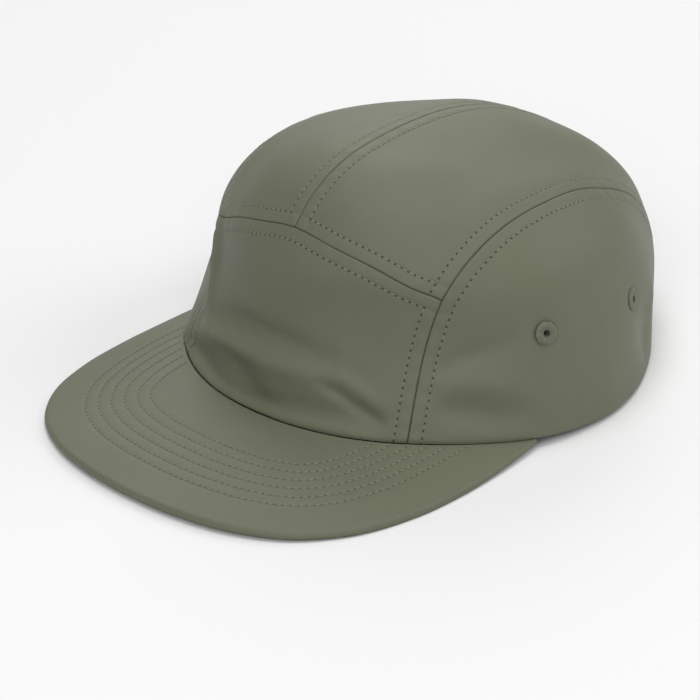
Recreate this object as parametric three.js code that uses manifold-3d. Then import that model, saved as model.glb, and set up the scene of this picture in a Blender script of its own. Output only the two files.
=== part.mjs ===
// A soft five panel cap: one front panel, two long top panels, two side panels, a curved
// peak, four eyelets, and a strap with a slide across the arch at the back.
// Millimetres. In the hem's own frame +Z is up, the peak points to -Y, +X is the wearer's
// left, and z = 0 is the plane of the hem at the sides. The last group tips that frame until
// the cap rests on the front of its peak and the back of its hem.
import * as THREE from 'three';
import { mergeVertices } from 'three/addons/utils/BufferGeometryUtils.js';
import Module from 'manifold-3d';

// Hem: 580 mm round, an adult head
const HEM_HALF_WIDTH = 91;
const HEM_FRONT_REACH = 91.4;
const HEM_BACK_REACH = 94.6;
const HEM_FRONT_SQUARENESS = 2.06;
const HEM_BACK_SQUARENESS = 1.72;
const HEM_TAIL_SQUARENESS = 2.05;
const HEM_TAIL_ONSET = 6;
const HEM_BACK_RISE = 2;

// Crown
const CROWN_HEIGHT = 92.4;
const CROWN_WALL = 1.5;
const SEAM_GAP = 0.3;
const FRONT_SEAM_TURN = 39.1;
const BACK_SEAM_TURN = 152;

// Peak
const PEAK_LENGTH = 61;
const PEAK_THICKNESS = 3;
const PEAK_END_THICKNESS = 1.5;
const PEAK_END_TURN = 68.8;
const PEAK_SEAT_HEIGHT = 3.3;
const PEAK_SEAT_FADE = 21;
const PEAK_TIP_HEIGHT = -5.6;
const PEAK_ARCH = 1.5;
const PEAK_EDGE_ROUND = 0.8;
const SEAT_GAP = 0.3;

// Back arch, strap and slide
const ARCH_HALF_TURN = 22;
const ARCH_HEIGHT = 38;
const ARCH_SQUARENESS = 2.4;
const STRAP_BOTTOM = 6;
const STRAP_WIDTH = 19;
const STRAP_THICKNESS = 1.3;
const STRAP_END_TURN = 26.5;
const STRAP_GAP = 0.6;
const SLIDE_LENGTH = 20;
const SLIDE_WALL = 1.6;
const SLIDE_CORNER = 1.5;
const SLIDE_CLEARANCE = 1;

// Eyelets
const EYELET_DIAMETER = 8.6;
const EYELET_HOLE = 2.2;
const EYELET_BARREL = 4.6;
const EYELET_DOME = 1;
const EYELET_BACK_DIAMETER = 7;
const EYELET_BACK_THICKNESS = 0.5;
const EYELET_FIT = 0.3;
const EYELET_CLEARANCE = 0.4;
const DRILL_LENGTH = 8 * CROWN_WALL;

// Facets
const COLUMNS_SIDE = 20;
const ROWS_SIDE = 8;
const COLUMNS_HALF_FRONT = 8;
const PEAK_SECTIONS = 44;
const PEAK_STEPS = [0, 0.25, 0.5, 0.75];
const ROUND_SIDES = 16;
const HOLE_SIDES = 20;

// Rows of numbers under named columns
const table = (columns, rows) => rows.map(
  (row) => Object.fromEntries(columns.map((name, i) => [name, row[i]])),
);

// Crown profile from its top to its hem, in shares. A reach is a share of the hem's reach in
// that direction, a height is a share of the crown's height, and the last column pulls the
// two front quarters in.
const PROFILE = table(
  ['at', 'frontReach', 'frontHeight', 'sideReach', 'sideHeight', 'backReach', 'backHeight', 'quarter'],
  [
    [0.00, 0.000, 1.000, 0.000, 1.000, 0.000, 1.000, 0.000],
    [0.20, 0.261, 0.984, 0.253, 0.953, 0.272, 0.972, 0.000],
    [0.40, 0.494, 0.936, 0.485, 0.894, 0.514, 0.897, -0.010],
    [0.55, 0.676, 0.827, 0.695, 0.799, 0.737, 0.783, -0.023],
    [0.70, 0.796, 0.645, 0.875, 0.622, 0.934, 0.608, -0.035],
    [0.85, 0.858, 0.365, 0.968, 0.342, 1.030, 0.352, -0.050],
    [1.00, 1.000, 0.000, 1.000, 0.000, 1.000, 0.000, 0.000],
  ],
);

// Seams on the crown laid flat as a disc of radius 1: across is to the left, along is to the back.
const TRANSVERSE_SEAM = [
  { across: 0.000, along: -0.628 },
  { across: 0.165, along: -0.629 },
  { across: 0.311, along: -0.605 },
  { across: 0.447, along: -0.562 },
  { across: 0.545, along: -0.504 },
];
const FRONT_SIDE_SEAM = [
  { across: 0.596, along: -0.690 },
  { across: 0.572, along: -0.610 },
  { across: 0.545, along: -0.504 },
];
const TOP_SIDE_SEAM = [
  { across: 0.545, along: -0.504 },
  { across: 0.535, along: -0.400 },
  { across: 0.526, along: -0.200 },
  { across: 0.524, along: 0.060 },
  { across: 0.513, along: 0.290 },
  { across: 0.484, along: 0.480 },
  { across: 0.474, along: 0.690 },
];

// Dents in the cloth, on the same disc. Depth is a share of the hem's half width, and a
// negative one is a bulge. Long and wide are the reach of the dent along and across its turn.
const DENTS = [
  { across: -0.15, along: -0.925, turn: -18, long: 0.190, wide: 0.035, depth: 0.020 },
  { across: 0.47, along: -0.820, turn: 22, long: 0.080, wide: 0.022, depth: 0.010 },
  { across: 0.75, along: -0.520, turn: 60, long: 0.090, wide: 0.050, depth: 0.012 },
  { across: 0.84, along: 0.330, turn: 100, long: 0.100, wide: 0.050, depth: 0.020 },
  { across: -0.66, along: -0.610, turn: 50, long: 0.120, wide: 0.100, depth: -0.014 },
];

// Eyelet places on the disc, for the left side
const EYELETS = [
  { name: 'front', across: 0.780, along: -0.235 },
  { name: 'rear', across: 0.796, along: 0.217 },
];

// Peak rim, from the middle to one end: how far it stands out from the hem, in shares of the
// peak's length, sideways and ahead.
const PEAK_RIM = [
  { at: 0.000, out: 0.000, ahead: 1.000 },
  { at: 0.125, out: 0.136, ahead: 0.992 },
  { at: 0.250, out: 0.267, ahead: 0.959 },
  { at: 0.375, out: 0.374, ahead: 0.871 },
  { at: 0.500, out: 0.409, ahead: 0.710 },
  { at: 0.625, out: 0.355, ahead: 0.512 },
  { at: 0.750, out: 0.248, ahead: 0.323 },
  { at: 0.875, out: 0.123, ahead: 0.152 },
  { at: 1.000, out: 0.000, ahead: 0.000 },
];

// Section of an eyelet's domed front, from its rim to its hole, in shares
const EYELET_FRONT = table(
  ['outwards', 'height'],
  [
    [0.85, 0.6],
    [0.50, 1.0],
    [0.12, 0.7],
  ],
);

const CLOTH_COLOUR = 0x6e725c;
const STRAP_COLOUR = 0x5c604d;
const SLIDE_COLOUR = 0x3c3f34;

const CROWN_UP = new THREE.Vector3(0, 0, 1);
const SLOPE_STEP = 0.002;
const WELD = 1e-4;
const SEARCH_STEPS = 40;

const wasm = await Module();
wasm.setup();

const radians = THREE.MathUtils.degToRad;
const mix = THREE.MathUtils.lerp;
const fade = THREE.MathUtils.smoothstep;

// A column of a table, smooth between its rows. Past its first row the table is mirrored,
// and a column that is odd changes sign there.
function tableValue(rows, column, at, odd) {
  const last = rows.length - 1;
  const read = (name, i, sign) => {
    if (i < 0) return sign * rows[-i][name];
    if (i > last) return 2 * rows[last][name] - rows[2 * last - i][name];
    return rows[i][name];
  };
  const place = (i) => read('at', i, -1);
  const value = (i) => read(column, i, odd ? -1 : 1);
  let i = 0;
  while (i < last - 1 && at > rows[i + 1].at) i += 1;
  const width = place(i + 1) - place(i);
  const slope = (k) => (value(k + 1) - value(k - 1)) / (place(k + 1) - place(k - 1));
  const t = (at - place(i)) / width;
  const t2 = t * t;
  const t3 = t2 * t;
  return (2 * t3 - 3 * t2 + 1) * value(i) + (t3 - 2 * t2 + t) * width * slope(i)
    + (3 * t2 - 2 * t3) * value(i + 1) + (t3 - t2) * width * slope(i + 1);
}

// The hem's outline: turn is 0 at the front and grows to the wearer's left.
function hemPoint(turn) {
  const ahead = Math.cos(turn);
  const aside = Math.sin(turn);
  const backPower = mix(HEM_BACK_SQUARENESS, HEM_TAIL_SQUARENESS, ahead ** HEM_TAIL_ONSET);
  const power = ahead > 0 ? HEM_FRONT_SQUARENESS : backPower;
  const reach = ahead > 0 ? HEM_FRONT_REACH : HEM_BACK_REACH;
  const size = (Math.abs(ahead) ** power + Math.abs(aside) ** power) ** (-1 / power);
  return new THREE.Vector2(HEM_HALF_WIDTH * size * aside, -reach * size * ahead);
}

// The crown's outer surface before its dents, at a point of the flat disc
function plainCrown(across, along) {
  const turn = Math.atan2(across, -along);
  const share = Math.hypot(across, along);
  const front = Math.max(Math.cos(turn), 0) ** 2;
  const back = Math.max(-Math.cos(turn), 0) ** 2;
  const side = Math.sin(turn) ** 2;
  const quarter = front > 0 ? Math.sin(2 * turn) ** 2 : 0;
  const column = (name, odd) => tableValue(PROFILE, name, share, odd);
  const reach = front * column('frontReach', true) + side * column('sideReach', true)
    + back * column('backReach', true) + quarter * column('quarter', true);
  const height = front * column('frontHeight', false) + side * column('sideHeight', false)
    + back * column('backHeight', false);
  const hem = hemPoint(turn);
  return new THREE.Vector3(hem.x * reach, hem.y * reach, CROWN_HEIGHT * height);
}

// The outward normal of a surface over the disc
function outward(surface, across, along) {
  const sideways = surface(across + SLOPE_STEP, along).sub(surface(across - SLOPE_STEP, along));
  const backward = surface(across, along + SLOPE_STEP).sub(surface(across, along - SLOPE_STEP));
  return sideways.cross(backward).normalize();
}

function dentDepth(across, along) {
  let depth = 0;
  for (const dent of DENTS) {
    const angle = radians(dent.turn);
    const dx = across - dent.across;
    const dy = along - dent.along;
    const lengthwise = (dx * Math.cos(angle) + dy * Math.sin(angle)) / dent.long;
    const crosswise = (dy * Math.cos(angle) - dx * Math.sin(angle)) / dent.wide;
    depth += dent.depth * Math.exp(-lengthwise * lengthwise - crosswise * crosswise);
  }
  return depth * HEM_HALF_WIDTH;
}

function crown(across, along) {
  const normal = outward(plainCrown, across, along);
  return plainCrown(across, along).addScaledVector(normal, -dentDepth(across, along));
}

// The lower edge of the crown: it stands on the peak in front, and lifts a little at the back
function bottomHeight(turn) {
  const away = Math.abs(THREE.MathUtils.radToDeg(turn));
  const seat = 1 - fade(away, FRONT_SEAM_TURN, PEAK_END_TURN + PEAK_SEAT_FADE);
  return PEAK_SEAT_HEIGHT * seat + HEM_BACK_RISE * Math.max(-Math.cos(turn), 0) ** 2;
}

// The point of the disc where the crown is at a given height, on the line of one turn
function discPointAtHeight(turn, height) {
  let low = 0.5;
  let high = 1;
  for (let step = 0; step < SEARCH_STEPS; step += 1) {
    const share = (low + high) / 2;
    const above = plainCrown(share * Math.sin(turn), -share * Math.cos(turn)).z > height;
    if (above) low = share;
    else high = share;
  }
  return new THREE.Vector2(high * Math.sin(turn), -high * Math.cos(turn));
}

const hemDiscPoint = (turn) => discPointAtHeight(turn, bottomHeight(turn));

function evenList(count, pointAt) {
  return Array.from({ length: count + 1 }, (_, i) => pointAt(i / count));
}

// Points along a smooth seam through chosen points of the disc
function seamPoints(points, count) {
  const flat = points.map((p) => new THREE.Vector3(p.x, p.y, 0));
  const curve = new THREE.CatmullRomCurve3(flat, false, 'centripetal');
  return evenList(count, (t) => curve.getPointAt(t)).map((p) => new THREE.Vector2(p.x, p.y));
}

const discPoints = (rows) => rows.map((row) => new THREE.Vector2(row.across, row.along));
const mirrored = (points) => points.map((p) => new THREE.Vector2(-p.x, p.y));
const reversed = (points) => [...points].reverse();

// A four-sided grid of disc points between its edges: lower and upper run the same way, and
// start and end run from the lower edge to the upper one.
function patch(lower, upper, start, end) {
  const columns = lower.length - 1;
  const rows = start.length - 1;
  return evenList(columns, (u) => evenList(rows, (v) => {
    const i = Math.round(u * columns);
    const j = Math.round(v * rows);
    const blend = (name) => (1 - v) * lower[i][name] + v * upper[i][name]
      + (1 - u) * start[j][name] + u * end[j][name]
      - (1 - u) * ((1 - v) * start[0][name] + v * start[rows][name])
      - u * ((1 - v) * end[0][name] + v * end[rows][name]);
    return new THREE.Vector2(blend('x'), blend('y'));
  }));
}

// Moves one edge of a patch inwards by half of the gap between two panels
function pullIn(grid, edge) {
  const columns = grid.length - 1;
  const rows = grid[0].length - 1;
  const shift = (point, inner) => {
    const distance = crown(point.x, point.y).distanceTo(crown(inner.x, inner.y));
    point.lerp(inner, SEAM_GAP / 2 / distance);
  };
  if (edge === 'upper') grid.forEach((column) => shift(column[rows], column[rows - 1]));
  if (edge === 'lower') grid.forEach((column) => shift(column[0], column[1]));
  if (edge === 'start') grid[0].forEach((point, j) => shift(point, grid[1][j]));
  if (edge === 'end') grid[columns].forEach((point, j) => shift(point, grid[columns - 1][j]));
}

function closedGeometry(vertices, triangles) {
  const geometry = new THREE.BufferGeometry();
  const numbers = vertices.flatMap((v) => [v.x, v.y, v.z]);
  geometry.setAttribute('position', new THREE.Float32BufferAttribute(numbers, 3));
  let volume = 0;
  for (const [a, b, c] of triangles) volume += vertices[a].dot(vertices[b].clone().cross(vertices[c]));
  geometry.setIndex((volume > 0 ? triangles : triangles.map(([a, b, c]) => [a, c, b])).flat());
  return geometry;
}

// A sheet of cloth over a patch, between two depths under the crown's surface. A level edge
// is cut parallel to the hem's plane, so that it sits flat on what is under it.
function clothSheet(grid, outerDepth, innerDepth, isLevel) {
  const columns = grid.length;
  const rows = grid[0].length;
  const vertices = [];
  for (const depth of [outerDepth, innerDepth]) {
    grid.forEach((column, i) => column.forEach((point, j) => {
      const normal = outward(crown, point.x, point.y);
      if (isLevel(i, j)) {
        const flat = Math.hypot(normal.x, normal.y);
        normal.set(normal.x / flat / flat, normal.y / flat / flat, 0);
      }
      vertices.push(crown(point.x, point.y).addScaledVector(normal, -depth));
    }));
  }
  const at = (i, j, side) => side * columns * rows + i * rows + j;
  const triangles = [];
  const quad = (a, b, c, d) => triangles.push([a, b, c], [a, c, d]);
  for (let i = 0; i < columns - 1; i += 1) {
    for (let j = 0; j < rows - 1; j += 1) {
      quad(at(i, j, 0), at(i + 1, j, 0), at(i + 1, j + 1, 0), at(i, j + 1, 0));
      quad(at(i, j, 1), at(i, j + 1, 1), at(i + 1, j + 1, 1), at(i + 1, j, 1));
    }
    quad(at(i, 0, 0), at(i, 0, 1), at(i + 1, 0, 1), at(i + 1, 0, 0));
    quad(at(i, rows - 1, 0), at(i + 1, rows - 1, 0), at(i + 1, rows - 1, 1), at(i, rows - 1, 1));
  }
  for (let j = 0; j < rows - 1; j += 1) {
    quad(at(0, j, 0), at(0, j + 1, 0), at(0, j + 1, 1), at(0, j, 1));
    quad(at(columns - 1, j, 0), at(columns - 1, j, 1), at(columns - 1, j + 1, 1), at(columns - 1, j + 1, 0));
  }
  return closedGeometry(vertices, triangles);
}

// Seams of the left half, shared by the panels on both sides of each
const frontTurn = radians(FRONT_SEAM_TURN);
const backTurn = radians(BACK_SEAM_TURN);
const frontSideSeam = seamPoints([hemDiscPoint(frontTurn), ...discPoints(FRONT_SIDE_SEAM)], ROWS_SIDE);
const topSideSeam = seamPoints(
  [...discPoints(TOP_SIDE_SEAM), hemDiscPoint(backTurn)],
  COLUMNS_SIDE + ROWS_SIDE,
);
const transverseSeam = seamPoints(discPoints(TRANSVERSE_SEAM), COLUMNS_HALF_FRONT);

// The back arch of the left half: from the side seam along the hem, then up to the middle
function archEdge(count) {
  const archTurn = radians(ARCH_HALF_TURN);
  const hemSteps = Math.round(count / 4);
  return evenList(count, (t) => {
    const i = Math.round(t * count);
    if (i < hemSteps) return hemDiscPoint(mix(backTurn, Math.PI - archTurn, i / hemSteps));
    const lift = ((i - hemSteps) / (count - hemSteps)) * (Math.PI / 2);
    const aside = Math.cos(lift) ** (2 / ARCH_SQUARENESS);
    const base = bottomHeight(Math.PI - archTurn * aside);
    const height = base + (ARCH_HEIGHT - base) * Math.sin(lift) ** (2 / ARCH_SQUARENESS);
    return discPointAtHeight(Math.PI - archTurn * aside, height);
  });
}

function frontPanel() {
  const lower = evenList(2 * COLUMNS_HALF_FRONT, (t) => hemDiscPoint(mix(-frontTurn, frontTurn, t)));
  const upper = [...mirrored(reversed(transverseSeam)), ...transverseSeam.slice(1)];
  const grid = patch(lower, upper, mirrored(frontSideSeam), frontSideSeam);
  ['upper', 'start', 'end'].forEach((edge) => pullIn(grid, edge));
  return clothSheet(grid, 0, CROWN_WALL, (i, j) => j === 0);
}

function sidePanel(side) {
  const lower = evenList(COLUMNS_SIDE, (t) => hemDiscPoint(mix(frontTurn, backTurn, t)));
  const upper = topSideSeam.slice(0, COLUMNS_SIDE + 1);
  const end = reversed(topSideSeam.slice(COLUMNS_SIDE));
  const edges = [lower, upper, frontSideSeam, end].map((edge) => (side < 0 ? mirrored(edge) : edge));
  const grid = patch(...edges);
  ['upper', 'start', 'end'].forEach((edge) => pullIn(grid, edge));
  return clothSheet(grid, 0, CROWN_WALL, (i, j) => j === 0);
}

function topPanel(side) {
  const columns = COLUMNS_SIDE + ROWS_SIDE;
  const arch = reversed(archEdge(COLUMNS_HALF_FRONT));
  const middleEnd = arch[0];
  const middle = evenList(columns, (t) => new THREE.Vector2(0, mix(transverseSeam[0].y, middleEnd.y, t)));
  const edges = [middle, topSideSeam, transverseSeam, arch].map((edge) => (side < 0 ? mirrored(edge) : edge));
  const grid = patch(...edges);
  ['upper', 'lower', 'start'].forEach((edge) => pullIn(grid, edge));
  return clothSheet(grid, 0, CROWN_WALL, () => false);
}

// The peak as sections from one end to the other, each a closed loop round its edge
function peakSection(at) {
  const away = Math.abs(at);
  const side = Math.sign(at) || 1;
  const turn = radians(PEAK_END_TURN) * away;
  const hem = hemPoint(turn);
  const beside = hemPoint(turn + SLOPE_STEP).sub(hemPoint(turn - SLOPE_STEP)).normalize();
  const seat = new THREE.Vector2(hem.x - beside.y * CROWN_WALL, hem.y + beside.x * CROWN_WALL);
  const rim = new THREE.Vector2(
    hem.x + PEAK_LENGTH * tableValue(PEAK_RIM, 'out', away, true),
    hem.y - PEAK_LENGTH * tableValue(PEAK_RIM, 'ahead', away, false),
  );
  const thickness = mix(PEAK_THICKNESS, PEAK_END_THICKNESS, away ** 4);
  const seatMiddle = bottomHeight(turn) - SEAT_GAP - thickness / 2;
  const endMiddle = bottomHeight(radians(PEAK_END_TURN)) - SEAT_GAP - PEAK_END_THICKNESS / 2;
  const rimMiddle = mix(PEAK_TIP_HEIGHT, endMiddle, away ** 4);
  const width = seat.distanceTo(rim);
  const rounded = 1 - Math.min(PEAK_EDGE_ROUND, width / 4) / width;
  const point = (t, lift) => {
    const middle = mix(seatMiddle, rimMiddle, t) + PEAK_ARCH * (1 - at * at) * 4 * t * (1 - t);
    const flat = seat.clone().lerp(rim, t);
    return new THREE.Vector3(side * flat.x, flat.y, middle + lift);
  };
  const steps = [...PEAK_STEPS, rounded];
  const upper = steps.map((t) => point(t, thickness / 2));
  const under = reversed(steps).map((t) => point(t, -thickness / 2));
  return [...upper, point(1, 0), ...under];
}

function peak() {
  const sections = evenList(PEAK_SECTIONS, (t) => peakSection(mix(-1, 1, t)));
  const size = sections[0].length;
  const vertices = sections.flat();
  const triangles = [];
  for (let i = 0; i < PEAK_SECTIONS; i += 1) {
    for (let k = 0; k < size; k += 1) {
      const next = (k + 1) % size;
      const a = i * size + k;
      const b = i * size + next;
      triangles.push([a, a + size, b + size], [a, b + size, b]);
    }
  }
  for (const [first, flip] of [[0, false], [PEAK_SECTIONS * size, true]]) {
    const loop = vertices.slice(first, first + size);
    const middle = loop.reduce((sum, v) => sum.add(v), new THREE.Vector3()).divideScalar(size);
    vertices.push(middle);
    const centre = vertices.length - 1;
    for (let k = 0; k < size; k += 1) {
      const a = first + k;
      const b = first + ((k + 1) % size);
      triangles.push(flip ? [centre, b, a] : [centre, a, b]);
    }
  }
  return closedGeometry(vertices, triangles);
}

// A place on the left or right side of the crown, with its outward direction
function eyeletSeat(eyelet, side) {
  const across = side * eyelet.across;
  return { point: crown(across, eyelet.along), normal: outward(crown, across, eyelet.along) };
}

// Turns a shape made round +Y so that +Y is the seat's outward direction
function placeOnSeat(object, seat) {
  object.position.copy(seat.point);
  object.quaternion.setFromUnitVectors(new THREE.Vector3(0, 1, 0), seat.normal);
}

function solidFrom(geometry) {
  const bare = geometry.clone();
  bare.deleteAttribute('normal');
  bare.deleteAttribute('uv');
  const merged = mergeVertices(bare, WELD);
  return new wasm.Manifold(new wasm.Mesh({
    numProp: 3,
    vertProperties: new Float32Array(merged.attributes.position.array),
    triVerts: new Uint32Array(merged.index.array),
  }));
}

function geometryFrom(solid) {
  const mesh = solid.getMesh();
  const geometry = new THREE.BufferGeometry();
  geometry.setAttribute('position', new THREE.BufferAttribute(mesh.vertProperties, 3));
  geometry.setIndex(new THREE.BufferAttribute(mesh.triVerts, 1));
  return geometry;
}

function withEyeletHoles(geometry, side) {
  let solid = solidFrom(geometry);
  for (const eyelet of EYELETS) {
    const radius = EYELET_BARREL / 2 + EYELET_FIT;
    const drill = new THREE.Mesh(new THREE.CylinderGeometry(radius, radius, DRILL_LENGTH, HOLE_SIDES));
    placeOnSeat(drill, eyeletSeat(eyelet, side));
    drill.updateMatrix();
    solid = solid.subtract(solidFrom(drill.geometry.applyMatrix4(drill.matrix)));
  }
  return geometryFrom(solid);
}

// A domed ring with a short barrel through the cloth and a flat ring behind it
function eyeletGeometry() {
  const hole = EYELET_HOLE / 2;
  const barrel = EYELET_BARREL / 2;
  const rim = EYELET_DIAMETER / 2;
  const back = -CROWN_WALL - EYELET_CLEARANCE;
  const profile = [
    [hole, back - EYELET_BACK_THICKNESS],
    [EYELET_BACK_DIAMETER / 2, back - EYELET_BACK_THICKNESS],
    [EYELET_BACK_DIAMETER / 2, back],
    [barrel, back],
    [barrel, EYELET_CLEARANCE],
    [rim, EYELET_CLEARANCE],
    ...EYELET_FRONT.map((row) => [mix(hole, rim, row.outwards), EYELET_CLEARANCE + EYELET_DOME * row.height]),
    [hole, EYELET_CLEARANCE],
    [hole, back - EYELET_BACK_THICKNESS],
  ];
  const lathe = new THREE.LatheGeometry(profile.map(([r, y]) => new THREE.Vector2(r, y)), ROUND_SIDES);
  lathe.deleteAttribute('normal');
  lathe.deleteAttribute('uv');
  return mergeVertices(lathe, WELD);
}

const strapDepth = CROWN_WALL + STRAP_GAP;

function backStrap() {
  const steps = 2 * COLUMNS_HALF_FRONT;
  const end = radians(STRAP_END_TURN);
  const grid = evenList(steps, (t) => {
    const turn = Math.PI + mix(-end, end, t);
    return [0, 0.5, 1].map((v) => discPointAtHeight(turn, STRAP_BOTTOM + STRAP_WIDTH * v));
  });
  return clothSheet(grid, strapDepth, strapDepth + STRAP_THICKNESS, () => false);
}

// A plain slide: a rectangular sleeve that the strap passes through
function slideMesh(material) {
  const height = STRAP_BOTTOM + STRAP_WIDTH / 2;
  const middle = discPointAtHeight(Math.PI, height);
  const end = discPointAtHeight(Math.PI + SLIDE_LENGTH / 2 / HEM_BACK_REACH, height);
  const normal = outward(crown, middle.x, middle.y);
  const bow = crown(middle.x, middle.y).sub(crown(end.x, end.y)).dot(normal);
  const slotDepth = STRAP_THICKNESS + bow + SLIDE_CLEARANCE;
  const slotHeight = STRAP_WIDTH + 2 * SLIDE_CLEARANCE;
  const outer = roundedRectangle(slotHeight + 2 * SLIDE_WALL, slotDepth + 2 * SLIDE_WALL, SLIDE_CORNER);
  outer.holes.push(roundedRectangle(slotHeight, slotDepth, SLIDE_CLEARANCE / 2));
  const geometry = new THREE.ExtrudeGeometry(outer, {
    depth: SLIDE_LENGTH, bevelEnabled: false, curveSegments: 3,
  });
  geometry.translate(0, 0, -SLIDE_LENGTH / 2);
  const mesh = new THREE.Mesh(geometry, material);
  const up = CROWN_UP.clone().addScaledVector(normal, -normal.z).normalize();
  const along = up.clone().cross(normal);
  mesh.quaternion.setFromRotationMatrix(new THREE.Matrix4().makeBasis(up, normal, along));
  const depth = strapDepth + (STRAP_THICKNESS + bow) / 2;
  mesh.position.copy(crown(middle.x, middle.y)).addScaledVector(normal, -depth);
  return mesh;
}

function roundedRectangle(width, height, corner) {
  const shape = new THREE.Shape();
  const x = width / 2 - corner;
  const y = height / 2 - corner;
  shape.absarc(x, y, corner, 0, Math.PI / 2);
  shape.absarc(-x, y, corner, Math.PI / 2, Math.PI);
  shape.absarc(-x, -y, corner, Math.PI, 1.5 * Math.PI);
  shape.absarc(x, -y, corner, 1.5 * Math.PI, 2 * Math.PI);
  shape.closePath();
  return shape;
}

const cloth = () => new THREE.MeshStandardMaterial({ color: CLOTH_COLOUR, roughness: 0.7, metalness: 0 });
const webbing = () => new THREE.MeshStandardMaterial({ color: STRAP_COLOUR, roughness: 0.8, metalness: 0 });
const plastic = () => new THREE.MeshStandardMaterial({ color: SLIDE_COLOUR, roughness: 0.45, metalness: 0 });

function named(mesh, name) {
  mesh.name = name;
  return mesh;
}

const capOnHem = new THREE.Group();
capOnHem.add(named(new THREE.Mesh(frontPanel(), cloth()), 'front_panel'));
for (const [side, word] of [[1, 'left'], [-1, 'right']]) {
  capOnHem.add(named(new THREE.Mesh(topPanel(side), cloth()), `top_panel_${word}`));
  const panel = withEyeletHoles(sidePanel(side), side);
  capOnHem.add(named(new THREE.Mesh(panel, cloth()), `side_panel_${word}`));
  for (const eyelet of EYELETS) {
    const ring = named(new THREE.Mesh(eyeletGeometry(), cloth()), `eyelet_${word}_${eyelet.name}`);
    placeOnSeat(ring, eyeletSeat(eyelet, side));
    capOnHem.add(ring);
  }
}
capOnHem.add(named(new THREE.Mesh(peak(), cloth()), 'peak'));
capOnHem.add(named(new THREE.Mesh(backStrap(), webbing()), 'back_strap'));
capOnHem.add(named(slideMesh(plastic()), 'buckle'));

// The lowest point of some pieces when the whole cap is tipped back by an angle
function lowest(names, angle) {
  let low = Infinity;
  capOnHem.rotation.x = -angle;
  capOnHem.updateMatrixWorld(true);
  const point = new THREE.Vector3();
  for (const name of names) {
    const mesh = capOnHem.getObjectByName(name);
    const places = mesh.geometry.attributes.position;
    for (let i = 0; i < places.count; i += 1) {
      low = Math.min(low, point.fromBufferAttribute(places, i).applyMatrix4(mesh.matrixWorld).z);
    }
  }
  return low;
}

// Tips the cap until the front of the peak and the back of the hem touch one floor
function restingTilt() {
  let low = 0;
  let high = radians(15);
  for (let step = 0; step < SEARCH_STEPS; step += 1) {
    const angle = (low + high) / 2;
    if (lowest(['peak'], angle) < lowest(['top_panel_left', 'top_panel_right'], angle)) low = angle;
    else high = angle;
  }
  return high;
}

capOnHem.rotation.x = -restingTilt();
capOnHem.updateMatrixWorld(true);
const box = new THREE.Box3().setFromObject(capOnHem, true);
capOnHem.position.set(0, -(box.min.y + box.max.y) / 2, -box.min.z);

const cap = new THREE.Group();
cap.add(capOnHem);

export default cap;
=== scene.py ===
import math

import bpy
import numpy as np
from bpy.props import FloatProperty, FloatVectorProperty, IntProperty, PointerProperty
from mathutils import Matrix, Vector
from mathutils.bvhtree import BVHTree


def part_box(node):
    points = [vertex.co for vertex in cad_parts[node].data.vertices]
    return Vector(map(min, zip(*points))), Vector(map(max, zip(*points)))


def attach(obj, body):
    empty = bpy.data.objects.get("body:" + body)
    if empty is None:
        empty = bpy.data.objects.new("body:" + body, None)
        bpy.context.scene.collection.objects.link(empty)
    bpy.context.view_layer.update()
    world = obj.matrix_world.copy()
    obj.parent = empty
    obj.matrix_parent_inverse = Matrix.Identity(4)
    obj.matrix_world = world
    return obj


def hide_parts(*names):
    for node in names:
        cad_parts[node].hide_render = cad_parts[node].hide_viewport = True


bl_info = {
    "name": "Five Panel Cap",
    "version": (1, 0, 0),
    "blender": (4, 5, 0),
    "location": "3D View > Sidebar > Cap",
    "description": "Sews a soft five panel cap over its packed frame",
    "category": "Add Mesh",
}

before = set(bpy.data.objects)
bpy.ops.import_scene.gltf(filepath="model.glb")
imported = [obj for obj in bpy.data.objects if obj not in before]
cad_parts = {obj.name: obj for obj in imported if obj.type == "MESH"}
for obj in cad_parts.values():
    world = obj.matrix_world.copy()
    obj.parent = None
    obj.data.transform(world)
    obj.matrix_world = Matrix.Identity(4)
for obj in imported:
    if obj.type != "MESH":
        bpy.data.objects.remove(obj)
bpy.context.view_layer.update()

MM = 0.001


# Settings

def length(name, description, millimetres):
    return FloatProperty(name=name, description=description, default=millimetres * MM,
                         unit="LENGTH", subtype="DISTANCE", precision=5)


def share(name, description, default):
    return FloatProperty(name=name, description=description, default=default, precision=4)


def turn_angle(name, description, degrees):
    return FloatProperty(name=name, description=description, default=math.radians(degrees),
                         unit="ROTATION", subtype="ANGLE")


def colour(name, description, *tint):
    return FloatVectorProperty(name=name, description=description, default=tint,
                               size=3, min=0, max=1, subtype="COLOR")


class CrownSizes(bpy.types.PropertyGroup):
    hem_half_width: length("Hem half width", "Half the width of the hem", 91)
    hem_front: length("Hem front", "Reach of the hem to the front", 91.4)
    hem_back: length("Hem back", "Reach of the hem to the back", 94.6)
    front_squareness: share("Front squareness", "How square the front of the hem is", 2.06)
    back_squareness: share("Back squareness", "How square the back of the hem is", 1.72)
    tail_squareness: share("Tail squareness", "How square the very back of the hem is", 2.05)
    back_rise: length("Back rise", "Lift of the hem at the back", 2)
    height: length("Crown height", "Height of the crown over its hem", 92.4)
    wall: length("Cloth", "Thickness of the sewn cloth", 1.5)
    front_seam_turn: turn_angle("Front seam", "Where the front panel ends at the hem", 39.1)
    back_seam_turn: turn_angle("Back seam", "Where the side panel ends at the hem", 152)
    arch_half_turn: turn_angle("Arch half turn", "Half the width of the back arch", 22)
    arch_height: length("Arch height", "Height of the back arch over the hem", 38)
    arch_squareness: share("Arch squareness", "How square the back arch is", 2.4)


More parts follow.
